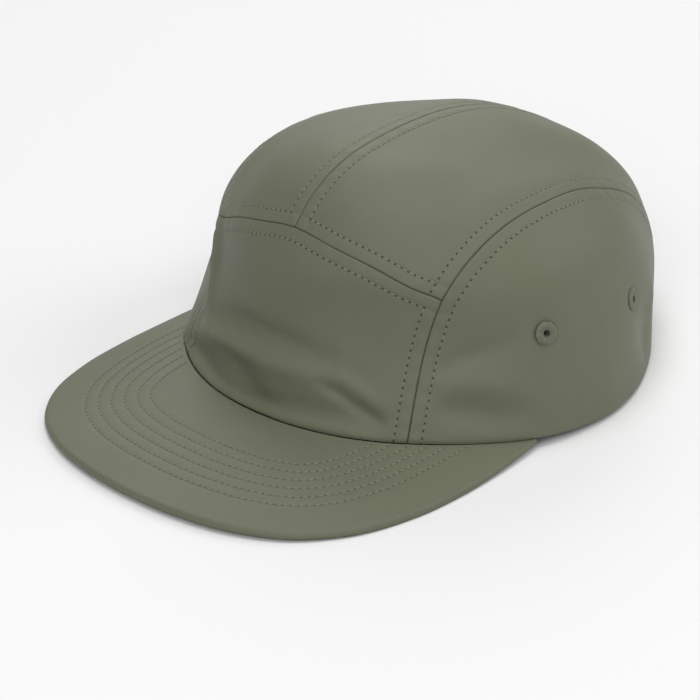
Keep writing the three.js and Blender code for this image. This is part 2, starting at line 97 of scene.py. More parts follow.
class PeakSizes(bpy.types.PropertyGroup):
    length: length("Peak length", "Length of the peak at its middle", 61)
    thickness: length("Peak thickness", "Thickness of the peak", 3)
    end_thickness: length("Peak end thickness", "Thickness of the peak's ends", 1.5)
    end_turn: turn_angle("Peak end", "Where the peak ends at the hem", 68.8)
    seat: length("Peak seat", "Height of the hem on the peak", 3.3)
    seat_fade: turn_angle("Peak seat fade", "How far the hem takes to come down again", 21)
    tip: length("Peak tip", "Height of the peak's rim", -5.6)
    arch: length("Peak arch", "Bow of the peak from hem to rim", 1.5)
    edge_round: length("Peak edge", "Reach of the rounded edge", 1.3)
    first_row: length("First row", "First stitched row, in from the rim", 14.8)
    row_step: length("Row step", "From one stitched row to the next", 4.85)
    rows: IntProperty(name="Rows", description="Number of stitched rows", default=6, min=0, max=9)


class SeamSizes(bpy.types.PropertyGroup):
    row: length("Row", "From a seam to the stitched row beside it", 4.9)
    stitch: length("Stitch", "Length of a stitch", 2.7)
    thread: length("Thread", "Thickness of the thread", 0.46)
    hole: length("Needle hole", "Width of a needle hole", 1.3)
    depth: length("Seam depth", "Depth of a seam", 0.45)
    allowance: length("Allowance", "Lift of the cloth over the folded seam", 0.16)
    row_sink: length("Row sink", "How deep a stitched row lies", 0.22)
    pucker: length("Pucker", "Height of the puckers between the rows", 0.08)
    pucker_step: length("Pucker step", "From one pucker to the next", 7.3)
    slack: length("Slack", "Height of the soft waves in the cloth", 0.4)


class EyeletSizes(bpy.types.PropertyGroup):
    diameter: length("Eyelet", "Outer diameter of an eyelet", 8.6)
    hole: length("Eyelet hole", "Diameter of its hole", 1.8)
    dome: length("Eyelet dome", "Height of its domed ring", 1.0)
    stitches: IntProperty(name="Stitches", description="Stitches round an eyelet",
                          default=30, min=12)


class BackSizes(bpy.types.PropertyGroup):
    strap_bottom: length("Strap height", "Height of the strap over the hem", 6)
    strap_width: length("Strap width", "Width of the webbing", 19)
    strap_thickness: length("Strap thickness", "Thickness of the webbing", 1.3)
    strap_end: turn_angle("Strap end", "Where the webbing ends inside the crown", 26.5)
    strap_gap: length("Strap gap", "From the crown's cloth to the webbing", 0.6)
    slide_length: length("Slide length", "Length of the slide along the strap", 20)
    slide_wall: length("Slide wall", "Wall of the slide", 1.6)
    slide_clearance: length("Slide clearance", "Room round the webbing in the slide", 1)


class CapColours(bpy.types.PropertyGroup):
    cloth: colour("Crown cloth", "Woven cloth of the crown", 0.121, 0.129, 0.083)
    peak: colour("Peak cloth", "Woven cloth of the peak", 0.121, 0.129, 0.083)
    thread: colour("Thread", "Sewing thread", 0.161, 0.171, 0.111)
    needle_hole: colour("Needle holes", "Shadow in the needle holes", 0.018, 0.020, 0.011)
    webbing: colour("Webbing", "Strap at the back", 0.085, 0.091, 0.060)
    slide: colour("Slide", "Plastic slide on the strap", 0.040, 0.043, 0.030)
    floor: colour("Floor", "Pale floor", 0.78, 0.78, 0.78)


GROUPS = {
    "cap_crown": CrownSizes,
    "cap_peak": PeakSizes,
    "cap_seams": SeamSizes,
    "cap_eyelets": EyeletSizes,
    "cap_back": BackSizes,
    "cap_colours": CapColours,
}

# The resting place: tipped back until the peak's front and the back of the hem touch the floor
REST_TILT = math.radians(2.357107585503399)
REST_BACK = 26.74876846340996 * MM
REST_LIFT = 1.867032169313911 * MM
PLACE_TOLERANCE = 0.6 * MM

SIDES = ((1, "left"), (-1, "right"))

# Crown profile from its top to its hem, in shares: place, front reach, front height,
# side reach, side height, back reach, back height, pull of the front quarters
PROFILE = np.array([
    [0.00, 0.000, 1.000, 0.000, 1.000, 0.000, 1.000, 0.000],
    [0.20, 0.261, 0.984, 0.253, 0.953, 0.272, 0.972, 0.000],
    [0.40, 0.494, 0.936, 0.485, 0.894, 0.514, 0.897, -0.010],
    [0.55, 0.676, 0.827, 0.695, 0.799, 0.737, 0.783, -0.023],
    [0.70, 0.796, 0.645, 0.875, 0.622, 0.934, 0.608, -0.035],
    [0.85, 0.858, 0.365, 0.968, 0.342, 1.030, 0.352, -0.050],
    [1.00, 1.000, 0.000, 1.000, 0.000, 1.000, 0.000, 0.000],
])

# Seams of the left half on the crown laid flat as a disc: across to the left, along to the back
TRANSVERSE_SEAM = [(0.000, -0.628), (0.165, -0.629), (0.311, -0.605), (0.447, -0.562),
                   (0.545, -0.504)]
FRONT_SIDE_SEAM = [(0.596, -0.690), (0.572, -0.610), (0.545, -0.504)]
TOP_SIDE_SEAM = [(0.545, -0.504), (0.535, -0.400), (0.526, -0.200), (0.524, 0.060),
                 (0.513, 0.290), (0.484, 0.480), (0.474, 0.690)]
TOP_SHARE_OF_SIDE = 20 / 28
ARCH_HEM_SHARE = 0.25
TAIL_ONSET = 6

# Dents: across, along, turn in degrees, long, wide, depth as a share of the hem's half width.
# A negative depth is a bulge.
DENTS = np.array([
    [-0.15, -0.925, -18, 0.190, 0.035, 0.020],
    [0.47, -0.820, 22, 0.080, 0.022, 0.010],
    [0.75, -0.520, 60, 0.090, 0.050, 0.012],
    [0.84, 0.330, 100, 0.100, 0.050, 0.020],
    [-0.66, -0.610, 50, 0.120, 0.100, -0.014],
])

# Folds that only the cloth shows: depth and width in millimetres, and the line that each
# follows. A negative depth is a ridge.
FOLDS = [
    (2.7, 4.8, [(-0.520, -0.725), (-0.430, -0.785), (-0.240, -0.843), (-0.057, -0.872),
                (0.140, -0.861), (0.330, -0.824)]),
    (-2.0, 4.4, [(-0.520, -0.755), (-0.440, -0.805), (-0.349, -0.848), (-0.127, -0.902),
                 (0.119, -0.902), (0.330, -0.852)]),
    (-1.2, 4.0, [(-0.400, -0.830), (-0.220, -0.882), (-0.030, -0.905)]),
    (3.0, 5.6, [(-0.640, -0.750), (-0.490, -0.835), (-0.388, -0.880), (-0.300, -0.916),
                (-0.200, -0.944)]),
    (1.7, 3.4, [(-0.420, -0.882), (-0.315, -0.926), (-0.200, -0.954), (-0.090, -0.970),
                (0.040, -0.970), (0.150, -0.955)]),
    (1.7, 4.6, [(-0.300, -0.915), (0.013, -0.962), (0.244, -0.926), (0.448, -0.850),
                (0.530, -0.805)]),
    (1.1, 1.7, [(0.225, -0.886), (0.325, -0.864), (0.415, -0.842), (0.540, -0.798)]),
    (-1.0, 3.0, [(0.250, -0.862), (0.362, -0.832), (0.460, -0.806), (0.540, -0.780)]),
    (-2.3, 4.3, [(-0.500, -0.500), (-0.530, -0.580), (-0.535, -0.660), (-0.490, -0.760)]),
    (2.3, 10.0, [(-0.640, -0.480), (-0.670, -0.580), (-0.690, -0.670)]),
    (1.0, 4.2, [(0.595, -0.645), (0.647, -0.582), (0.690, -0.497), (0.716, -0.430),
                (0.742, -0.362), (0.761, -0.292)]),
    (-1.6, 6.0, [(0.630, -0.640), (0.724, -0.531), (0.789, -0.438), (0.853, -0.323)]),
    (1.4, 5.0, [(0.660, -0.665), (0.756, -0.559), (0.825, -0.467), (0.911, -0.309)]),
    (-0.7, 6.0, [(0.710, 0.430), (0.762, 0.431), (0.800, 0.405)]),
    (0.9, 6.0, [(0.790, 0.416), (0.847, 0.390), (0.890, 0.395)]),
    (1.1, 7.0, [(0.600, 0.720), (0.690, 0.660), (0.790, 0.560)]),
    (0.9, 8.0, [(-0.600, 0.690), (-0.740, 0.560), (-0.830, 0.380)]),
    (0.8, 7.0, [(-0.720, -0.350), (-0.800, -0.200), (-0.850, 0.000)]),
]

EYELETS = {"front": (0.780, -0.235), "rear": (0.796, 0.217)}

# Peak rim from the middle to one end: place, out and ahead in shares of the peak's length
PEAK_RIM = np.array([
    [0.000, 0.000, 1.000], [0.125, 0.136, 0.992], [0.250, 0.267, 0.959],
    [0.375, 0.374, 0.871], [0.500, 0.409, 0.710], [0.625, 0.355, 0.512],
    [0.750, 0.248, 0.323], [0.875, 0.123, 0.152], [1.000, 0.000, 0.000],
])

# Step and rounds of the searches over the disc, and points laid along its lines
SLOPE_STEP = 0.002
SEARCH_STEPS, ROW_STEPS = 34, 3
LINE_POINTS, FOLD_POINTS, CURVE_POINTS, ROW_POINTS = 260, 60, 60, 400
RIM_POINTS, RIM_ROW_POINTS, HEM_POINTS = 600, 900, 721
DISTANCE_BLOCK = 2500

# Meshes: stops close to a seam, then fine steps in its band and coarse ones beyond it
SEAM_BAND = 8 * MM
SEAM_STOPS = np.array([0, 0.18, 0.4, 0.7]) * MM
FINE_STEP = 0.45 * MM
COARSE_STEP = 1.1 * MM
FRONT_SPAN = (114 * MM, 66 * MM)
TOP_SPAN = (200 * MM, 58 * MM)
SIDE_SPAN = (160 * MM, 78 * MM)
NO_SEAM = 99 * MM

# Slack: the seams and the hem hold the cloth, so waves and folds come to their full depth at
# these distances. A fold reaches a few widths, and tapers to its ends. The waves add up to
# about three times one of them.
WAVES_FULL_AT, FOLDS_FULL_AT = 14 * MM, 5 * MM
FOLD_REACH, FOLD_TAPER = 3, 0.7
WAVELENGTHS = np.linspace(24, 75, 11) * MM
WAVE_SUM = 3
CROWN_SEED, PEAK_SEED, EYELET_SEED = 4, 9, 11

# Relief at a seam and at the hem
SHOULDER_START, SHOULDER_END = -0.6 * MM, 2.2 * MM
GROOVE_WIDTH = 0.32 * MM
ROW_WIDTH = 0.8 * MM
PUCKER_DRIFT, PUCKER_SWAY = 17 * MM, 1.9
PUCKER_WIDTH = 0.45
PUCKER_FADE = 3 * MM
OUTER_PUCKER, OUTER_PUCKER_TURN = 0.5, 0.61
SEAM_FALL = 1.5
HEM_ROLL, HEM_ROLL_WIDTH = 0.55 * MM, 0.8 * MM

# Cloth drawn in round an eyelet: a crease at its rim and a wide dish, the dish in rim radii
CREASE, CREASE_WIDTH, CREASE_AT = 0.5 * MM, 1.1 * MM, 0.85
DISH, DISH_WIDTH = 0.35 * MM, 2.2
HOLE_MARGIN = 0.6 * MM

# Peak: its grid, the gap under the hem, and the relief of its rows
PEAK_COLUMNS, PEAK_UPPER, PEAK_BEND, PEAK_UNDER = 231, 116, 11, 34
PEAK_SEAT_GAP = 0.3 * MM
PEAK_ROW, PEAK_ROW_WIDTH = 0.16 * MM, 0.75 * MM
PEAK_PUCKER, PEAK_PUCKER_WIDTH, PEAK_PUCKER_RUN = 0.05 * MM, 1.6 * MM, 1.5 * MM
PEAK_SLACK = 0.12 * MM
PEAK_WAVES_FROM, PEAK_WAVES_FULL_AT = 1 * MM, 9 * MM
# The lower half of the peak's rounded edge counts as a seam: its edge seam, and painted shade where
# the edge turns down
PEAK_SEAM_AND_SHADE, PEAK_SEAM_AND_SHADE_LOW, PEAK_SEAM_AND_SHADE_HIGH = 0.12 * MM, -0.65, -0.05
PEAK_HELD_AT_SEAT, PEAK_TOP = 0.04, 0.99

# Rows end where they meet: at a share of the next seam's row, or at these distances
ROW_MEETS = 0.98
STOP_AT_HEM, STOP_AT_CROSSING, STOP_AT_ARCH, STOP_AT_MIDDLE = 0.5 * MM, 1.2 * MM, 1 * MM, 0.7 * MM
STOP_PAST_HEM = 0.4 * MM
ROW_TOLERANCE = 0.05 * MM

# The peak's thread beside the crown's: its thickness, the width of its holes, and its rise
PEAK_THREAD, PEAK_HOLE, PEAK_RISE = 0.9, 0.55, 0.35


# Small tools

def smooth_step(value, low, high):
    t = np.clip((value - low) / (high - low), 0, 1)
    return t * t * (3 - 2 * t)


def mix(a, b, t):
    return a + (b - a) * t


def hump(distance, width, power=2):
    """1 at no distance, fading away over a width."""
    return np.exp(-(distance / width) ** power)


def unit(vectors):
    return vectors / np.linalg.norm(vectors, axis=-1, keepdims=True)


def spokes(count, east, north):
    """Directions round a circle, from east by way of north."""
    angles = np.arange(count)[:, None] * math.tau / count
    return np.cos(angles) * east + np.sin(angles) * north


def run_along(points):
    """Length of a line up to each of its points."""
    return np.concatenate([[0], np.cumsum(np.linalg.norm(np.diff(points, axis=0), axis=1))])


def smooth_curve(t, start, end, start_slope, end_slope):
    return ((2 * t**3 - 3 * t**2 + 1) * start + (t**3 - 2 * t**2 + t) * start_slope
            + (3 * t**2 - 2 * t**3) * end + (t**3 - t**2) * end_slope)


def smooth_table(rows, column, at, odd=False):
    """A column of a table, smooth between its rows and mirrored before its first row."""
    sign = -1 if odd else 1
    places = np.concatenate([[-rows[1, 0]], rows[:, 0], [2 * rows[-1, 0] - rows[-2, 0]]])
    values = np.concatenate([[sign * rows[1, column]], rows[:, column],
                             [2 * rows[-1, column] - rows[-2, column]]])
    i = np.clip(np.searchsorted(rows[:, 0], at) - 1, 0, len(rows) - 2) + 1
    width = places[i + 1] - places[i]
    slope = (values[i + 1] - values[i - 1]) / (places[i + 1] - places[i - 1])
    next_slope = (values[i + 2] - values[i]) / (places[i + 2] - places[i])
    return smooth_curve((at - places[i]) / width, values[i], values[i + 1],
                        width * slope, width * next_slope)


# The crown's surface over the disc

def hem_point(turn):
    sizes = bpy.context.scene.cap_crown
    ahead, aside = np.cos(turn), np.sin(turn)
    back = mix(sizes.back_squareness, sizes.tail_squareness, ahead ** TAIL_ONSET)
    power = np.where(ahead > 0, sizes.front_squareness, back)
    reach = np.where(ahead > 0, sizes.hem_front, sizes.hem_back)
    size = (np.abs(ahead) ** power + np.abs(aside) ** power) ** (-1 / power)
    return np.stack([sizes.hem_half_width * size * aside, -reach * size * ahead], -1)


def plain_crown(disc):
    turn = np.arctan2(disc[..., 0], -disc[..., 1])
    place = np.hypot(disc[..., 0], disc[..., 1])
    front = np.maximum(np.cos(turn), 0) ** 2
    back = np.maximum(-np.cos(turn), 0) ** 2
    side = np.sin(turn) ** 2
    quarter = np.where(front > 0, np.sin(2 * turn) ** 2, 0)
    reach = sum(part * smooth_table(PROFILE, column, place, odd=True)
                for part, column in ((front, 1), (side, 3), (back, 5), (quarter, 7)))
    height = sum(part * smooth_table(PROFILE, column, place)
                 for part, column in ((front, 2), (side, 4), (back, 6)))
    flat = hem_point(turn) * reach[..., None]
    tall = bpy.context.scene.cap_crown.height * height
    return np.concatenate([flat, tall[..., None]], -1)


def slopes(surface, disc):
    """Change of a surface over a small step across the disc, and over one along it."""
    return [surface(disc + step) - surface(disc - step)
            for step in (np.array([SLOPE_STEP, 0]), np.array([0, SLOPE_STEP]))]


def outward(surface, disc):
    return unit(np.cross(*slopes(surface, disc)))


def dent_depth(disc):
    depth = np.zeros(disc.shape[:-1])
    for across, along, turn, long, wide, deep in DENTS:
        angle = math.radians(turn)
        dx, dy = disc[..., 0] - across, disc[..., 1] - along
        lengthwise = (dx * math.cos(angle) + dy * math.sin(angle)) / long
        crosswise = (dy * math.cos(angle) - dx * math.sin(angle)) / wide
        depth += deep * np.exp(-lengthwise**2 - crosswise**2)
    return depth * bpy.context.scene.cap_crown.hem_half_width


def crown(disc):
    return plain_crown(disc) - outward(plain_crown, disc) * dent_depth(disc)[..., None]


def bottom_height(turn):
    sizes, peak = bpy.context.scene.cap_crown, bpy.context.scene.cap_peak
    seat = 1 - smooth_step(np.abs(turn), sizes.front_seam_turn, peak.end_turn + peak.seat_fade)
    return peak.seat * seat + sizes.back_rise * np.maximum(-np.cos(turn), 0) ** 2


def disc_at_height(turn, height):
    turn = np.asarray(turn, float)
    low, high = np.full(turn.shape, 0.5), np.full(turn.shape, 1.0)
    ray = np.stack([np.sin(turn), -np.cos(turn)], -1)
    for _ in range(SEARCH_STEPS):
        middle = (low + high) / 2
        above = plain_crown(ray * middle[..., None])[..., 2] > height
        low, high = np.where(above, middle, low), np.where(above, high, middle)
    return ray * high[..., None]


def hem_disc(turn):
    return disc_at_height(turn, bottom_height(turn))


# Seams: a line is a function from shares of its length to points of the disc

def smooth_line(points):
    """A smooth line through points of the disc."""
    points = np.array(points)
    p = np.array([2 * points[0] - points[1], *points, 2 * points[-1] - points[-2]])
    steps = np.diff(p, axis=0)
    gaps = np.sqrt(np.linalg.norm(steps, axis=1, keepdims=True))
    turns = (steps[:-1] / gaps[:-1] - (p[2:] - p[:-2]) / (gaps[:-1] + gaps[1:])
             + steps[1:] / gaps[1:])
    t = np.linspace(0, 1, CURVE_POINTS)[:, None]
    laid = [p[1:2]]
    for k in range(1, len(p) - 2):
        curve = smooth_curve(t, p[k], p[k + 1], turns[k - 1] * gaps[k], turns[k] * gaps[k])
        laid.append(curve[1:])
    line = np.concatenate(laid)
    run = run_along(line)
    return lambda t: np.stack([np.interp(t, run / run[-1], line[:, k]) for k in (0, 1)], -1)


def sided(line, side):
    """A line of the left half, or its mirror image on the right."""
    return lambda t: line(t) * np.array([side, 1])


def part_of(line, first, last):
    return lambda t: line(mix(first, last, t))


def joined(first, second):
    return lambda t: np.where(t[..., None] < 0.5, first(np.minimum(2 * t, 1)),
                              second(np.maximum(2 * t - 1, 0)))


def front_hem(t):
    turn = bpy.context.scene.cap_crown.front_seam_turn
    return hem_disc(mix(-turn, turn, t))


def side_hem(t):
    sizes = bpy.context.scene.cap_crown
    return hem_disc(mix(sizes.front_seam_turn, sizes.back_seam_turn, t))


def arch_line(t):
    """The edge of the left top panel from the middle of the arch to the side seam."""
    sizes = bpy.context.scene.cap_crown
    t = 1 - np.asarray(t, float)
    along_hem = hem_disc(mix(sizes.back_seam_turn, math.pi - sizes.arch_half_turn,
                             np.minimum(t / ARCH_HEM_SHARE, 1)))
    lift = np.maximum(t - ARCH_HEM_SHARE, 0) / (1 - ARCH_HEM_SHARE) * math.pi / 2
    aside = np.maximum(np.cos(lift), 0) ** (2 / sizes.arch_squareness)
    turn = math.pi - sizes.arch_half_turn * aside
    base = bottom_height(turn)
    height = base + (sizes.arch_height - base) * np.sin(lift) ** (2 / sizes.arch_squareness)
    return np.where(t[..., None] < ARCH_HEM_SHARE, along_hem, disc_at_height(turn, height))


def left_seams():
    """The seams of the left half, and the whole transverse seam from right to left."""
    sizes = bpy.context.scene.cap_crown
    transverse = smooth_line(TRANSVERSE_SEAM)
    top_of_arch = disc_at_height(math.pi, sizes.arch_height)
    return {
        "transverse": transverse,
        "whole_transverse": joined(sided(part_of(transverse, 1, 0), -1), transverse),
        "front_side": smooth_line([hem_disc(sizes.front_seam_turn), *FRONT_SIDE_SEAM]),
        "top_side": smooth_line([*TOP_SIDE_SEAM, hem_disc(sizes.back_seam_turn)]),
        "middle": smooth_line([TRANSVERSE_SEAM[0], (0, top_of_arch[1])]),
        "arch": arch_line,
    }


def patch(lower, upper, start, end, us, vs):
    """Points of the disc between four edges, at shares us along and vs up."""
    u, v = us[:, None, None], vs[None, :, None]
    corners = ((1 - u) * ((1 - v) * start(0.0) + v * start(1.0))
               + u * ((1 - v) * end(0.0) + v * end(1.0)))
    return ((1 - v) * lower(us)[:, None] + v * upper(us)[:, None]
            + (1 - u) * start(vs)[None] + u * end(vs)[None] - corners)


def stops(size, extra=()):
    """Shares of a size, close together in the bands beside the seams at its ends."""
    near = SEAM_STOPS[-1]
    fine = np.linspace(near + FINE_STEP, SEAM_BAND, round((SEAM_BAND - near) / FINE_STEP))
    ends = np.concatenate([SEAM_STOPS, fine])
    steps = round((size - 2 * SEAM_BAND) / COARSE_STEP)
    middle = np.linspace(SEAM_BAND, size - SEAM_BAND, steps + 1)[1:-1]
    return np.unique(np.concatenate([ends, middle, size - ends, np.array(extra) * size]) / size)


def line_distance(points, line):
    """Distance from points to a line, and the line's length up to the nearest place."""
    flat = points.reshape(-1, points.shape[-1])
    start, step = line[:-1], np.diff(line, axis=0)
    size = np.linalg.norm(step, axis=1)
    run = run_along(line)[:-1]
    distances, runs = np.empty(len(flat)), np.empty(len(flat))
    for first in range(0, len(flat), DISTANCE_BLOCK):
        block = slice(first, first + DISTANCE_BLOCK)
        offset = flat[block, None] - start
        t = np.clip((offset * step).sum(-1) / size**2, 0, 1)
        gap = np.linalg.norm(offset - t[..., None] * step, axis=-1)
        best = gap.argmin(1)
        rows = np.arange(len(best))
        distances[block] = gap[rows, best]
        runs[block] = run[best] + t[rows, best] * size[best]
    return distances.reshape(points.shape[:-1]), runs.reshape(points.shape[:-1])


def laid_line(line, count=LINE_POINTS):
    return crown(line(np.linspace(0, 1, count)))


# Relief of the sewn cloth

def fold_depth(points):
    depth = np.zeros(points.shape[:-1])
    for deep, wide, line in FOLDS:
        laid = laid_line(smooth_line(line), FOLD_POINTS)
        reach = FOLD_REACH * wide * MM
        near = ((points > laid.min(0) - reach) & (points < laid.max(0) + reach)).all(-1)
        if near.any():
            distance, run = line_distance(points[near], laid)
            place = np.clip(run / run_along(laid)[-1], 0, 1)
            fade = np.sin(place * math.pi) ** FOLD_TAPER
            depth[near] += deep * MM * fade * hump(distance, wide * MM)
    return depth


def cloth_waves(points, height, seed=CROWN_SEED):
    """Soft low waves of slack cloth."""
    random = np.random.default_rng(seed)
    waves = np.zeros(points.shape[:-1])
    for wavelength in WAVELENGTHS:
        direction = unit(random.normal(size=3))
        phase = random.uniform(0, math.tau)
        waves += np.sin(points @ direction * math.tau / wavelength + phase)
    return height * waves / WAVE_SUM


def seam_relief(gaps):
    """Lift of the cloth by its distance to each seam and the length along that seam."""
    seams = bpy.context.scene.cap_seams
    lift, sink = np.zeros((2, *gaps[0][0].shape))
    for distance, run in gaps:
        beyond = distance - seams.row
        shoulder = 1 - smooth_step(beyond, SHOULDER_START, SHOULDER_END)
        lift = np.maximum(lift, seams.allowance * shoulder)
        sink += seams.depth * hump(distance, GROOVE_WIDTH, SEAM_FALL)
        sink += seams.row_sink * hump(beyond, ROW_WIDTH)
        phase = math.tau * run / seams.pucker_step + PUCKER_SWAY * np.sin(run / PUCKER_DRIFT)
        inner = hump(distance - seams.row / 2, PUCKER_WIDTH * seams.row) * np.sin(phase)
        outer = hump(np.maximum(beyond, 0), PUCKER_FADE, 1) * (distance > 0)
        outer = OUTER_PUCKER * outer * np.sin(phase * OUTER_PUCKER_TURN)
        lift = lift + seams.pucker * (inner + outer)
    return lift - sink


def eyelet_pull(points):
    """How deep the cloth is drawn in round the eyelets."""
    rim = bpy.context.scene.cap_eyelets.diameter / 2
    pull = np.zeros(points.shape[:-1])
    for _, _, middle, _ in eyelet_seats():
        away = np.linalg.norm(points - middle, axis=-1)
        pull += CREASE * hump(away - CREASE_AT * rim, CREASE_WIDTH)
        pull += DISH * hump(away, DISH_WIDTH * rim)
    return pull


def peak_relief(points):
    """Lift of the peak's upper cloth: low waves, its stitched rows, and puckers between them."""
    sizes = bpy.context.scene.cap_peak
    distance, run = line_distance(points[..., :2], peak_rim_line(RIM_POINTS))
    held = smooth_step(distance, PEAK_WAVES_FROM, PEAK_WAVES_FULL_AT)
    relief = cloth_waves(points, PEAK_SLACK, PEAK_SEED) * held
    for k in range(sizes.rows):
        inside = distance - sizes.first_row - k * sizes.row_step
        between = hump(inside - sizes.row_step / 2, PEAK_PUCKER_WIDTH)
        relief -= PEAK_ROW * hump(inside, PEAK_ROW_WIDTH)
        relief += PEAK_PUCKER * between * np.sin(run / PEAK_PUCKER_RUN + k)
    return relief


# Meshes

def in_place(points):
    """From the hem's own frame to the cap's resting place."""
    cos, sin = math.cos(REST_TILT), math.sin(REST_TILT)
    x, y, z = points[..., 0], points[..., 1], points[..., 2]
    return np.stack([x, y * cos + z * sin + REST_BACK, z * cos - y * sin + REST_LIFT], -1)


def new_piece(name, vertices, faces, look, sharp=50):
    mesh = bpy.data.meshes.new(name)
    mesh.from_pydata(vertices.tolist(), [], faces)
    mesh.validate()
    mesh.shade_smooth()
    mesh.set_sharp_from_angle(angle=math.radians(sharp))
    mesh.materials.append(look_named(look))
    piece = bpy.data.objects.new(name, mesh)
    bpy.context.scene.collection.objects.link(piece)
    return piece


def settle(piece, slot, *nodes):
    """Give a piece its body, and see that it lies where its solid lies. Its slot is not used."""
    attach(piece, "root")
    for node in nodes:
        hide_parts(node)
        seams = bpy.context.scene.cap_seams
        corners = np.array([vertex.co for vertex in piece.data.vertices])
        off = np.abs(np.array([corners.min(0), corners.max(0)]) - np.array(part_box(node))).max()
        if off > PLACE_TOLERANCE + seams.slack + seams.depth:
            raise ValueError(f"{piece.name} lies {off / MM:.2f} mm off its solid")


def add_numbers(piece, name, values):
    data = piece.data.attributes.new(name, "FLOAT", "POINT").data
    data.foreach_set("value", np.asarray(values, np.float32).ravel())


def add_cloth_map(piece, places):
    """A flat map of the cloth in metres, so that its weave follows the piece."""
    mesh = piece.data
    corner = np.empty(len(mesh.loops), np.int32)
    mesh.loops.foreach_get("vertex_index", corner)
    layer = mesh.uv_layers.new(name="cloth")
    layer.uv.foreach_set("vector", places[corner].astype(np.float32).ravel())


def quads(*corners):
    return np.stack(corners, -1).reshape(-1, 4).tolist()


def ring_corners(rings, size):
    """Each point of a stack of rings, the next round its ring, and both on the next ring."""
    at = np.arange(rings * size).reshape(rings, size)
    beside = np.roll(at, -1, axis=1)
    return at, beside, np.roll(at, -1, axis=0), np.roll(beside, -1, axis=0)


def shell_faces(columns, rows, kept, flip):
    """Faces of two grids of points joined round every open edge."""
    size = columns * rows
    at = np.arange(size).reshape(columns, rows)
    i, j = np.nonzero(kept)
    a, b, c, d = at[i, j], at[i + 1, j], at[i + 1, j + 1], at[i, j + 1]
    faces = [np.stack([a, b, c, d], -1), np.stack([d, c, b, a], -1) + size]
    padded = np.pad(kept, 1)
    for (di, dj), first, last in (((0, -1), a, b), ((1, 0), b, c), ((0, 1), c, d), ((-1, 0), d, a)):
        edge = ~padded[i + 1 + di, j + 1 + dj]
        first, last = first[edge], last[edge]
        faces.append(np.stack([first, first + size, last + size, last], -1))
    faces = np.concatenate(faces)
    return (faces[:, ::-1] if flip else faces).tolist()


def cloth_shell(name, outer, inner, look, seam, kept=None):
    columns, rows = outer.shape[:2]
    if kept is None:
        kept = np.ones((columns - 1, rows - 1), bool)
    m, n = columns // 2, rows // 2
    facing = np.cross(outer[m + 1, n] - outer[m, n], outer[m, n + 1] - outer[m, n])
    flip = facing @ (outer[m, n] - inner[m, n]) < 0
    vertices = in_place(np.concatenate([outer.reshape(-1, 3), inner.reshape(-1, 3)]))
    piece = new_piece(name, vertices, shell_faces(columns, rows, kept, flip), look)
    spans = [np.linalg.norm(np.diff(outer, axis=axis), axis=-1).mean(1 - axis) for axis in (0, 1)]
    across, up = (np.cumsum(np.pad(span, (1, 0))) for span in spans)
    places = np.stack(np.meshgrid(across, up, indexing="ij"), -1).reshape(-1, 2)
    add_cloth_map(piece, np.concatenate([places, places]))
    add_numbers(piece, "seam", np.concatenate([seam.ravel(), np.full(seam.size, NO_SEAM)]) / MM)
    return piece


def sew_panel(name, node, edges, us, vs, seams, hem, level=False, kept_at=None):
    """One panel: its outer face with the relief of its seams, and its plain inner face."""
    sizes, slack = bpy.context.scene.cap_crown, bpy.context.scene.cap_seams.slack
    disc = patch(*edges, us, vs)
    points, inward = crown(disc), outward(crown, disc)
    gaps = [line_distance(points, laid_line(seam)) for seam in seams]
    hem_gap = line_distance(points, laid_line(hem))[0]
    nearest = np.min([gap[0] for gap in gaps], axis=0)
    hang = cloth_waves(points, slack) * smooth_step(np.minimum(nearest, hem_gap), 0, WAVES_FULL_AT)
    hang -= fold_depth(points) * smooth_step(hem_gap, 0, FOLDS_FULL_AT)
    relief = seam_relief(gaps) - HEM_ROLL * hump(hem_gap, HEM_ROLL_WIDTH, SEAM_FALL)
    relief -= eyelet_pull(points)
    if level:
        flat = inward[:, 0, :2]
        inward[:, 0, :2] = flat / np.linalg.norm(flat, axis=-1, keepdims=True) ** 2
        inward[:, 0, 2] = 0
    outer = points + inward * (hang + relief)[..., None]
    inner = points + inward * (hang - sizes.wall)[..., None]
    kept = None if kept_at is None else kept_at((disc[1:, 1:] + disc[:-1, :-1]) / 2)
    settle(cloth_shell(name, outer, inner, "sewn_crown_cloth", nearest, kept), "crown_cloth", node)


# Materials: an expression on values adds its nodes

class Value:
    def __init__(self, look, socket):
        self.look, self.socket = look, socket

    def math(self, operation, *others):
        return self.look.node("ShaderNodeMath", {"operation": operation},
                              dict(enumerate((self, *others))))

    def __add__(self, other):
        return self.math("ADD", other)

    __radd__ = __add__

    def __sub__(self, other):
        return self.math("SUBTRACT", other)

    def __rsub__(self, other):
        return (self * -1) + other

    def __mul__(self, other):
        return self.math("MULTIPLY", other)

    __rmul__ = __mul__

    def sine(self):
        return self.math("SINE")

    def turned(self, pitch):
        """A length as an angle that goes round once in each pitch."""
        return self * (math.tau / pitch)

    def swing(self, amount):
        """Its swing about one half, times an amount."""
        return (self - 0.5) * amount

    def between(self, low, high):
        """0 below low, 1 above high, smooth between them."""
        return self.look.node("ShaderNodeMapRange", {"interpolation_type": "SMOOTHSTEP"},
                              {"Value": self, "From Min": low, "From Max": high})


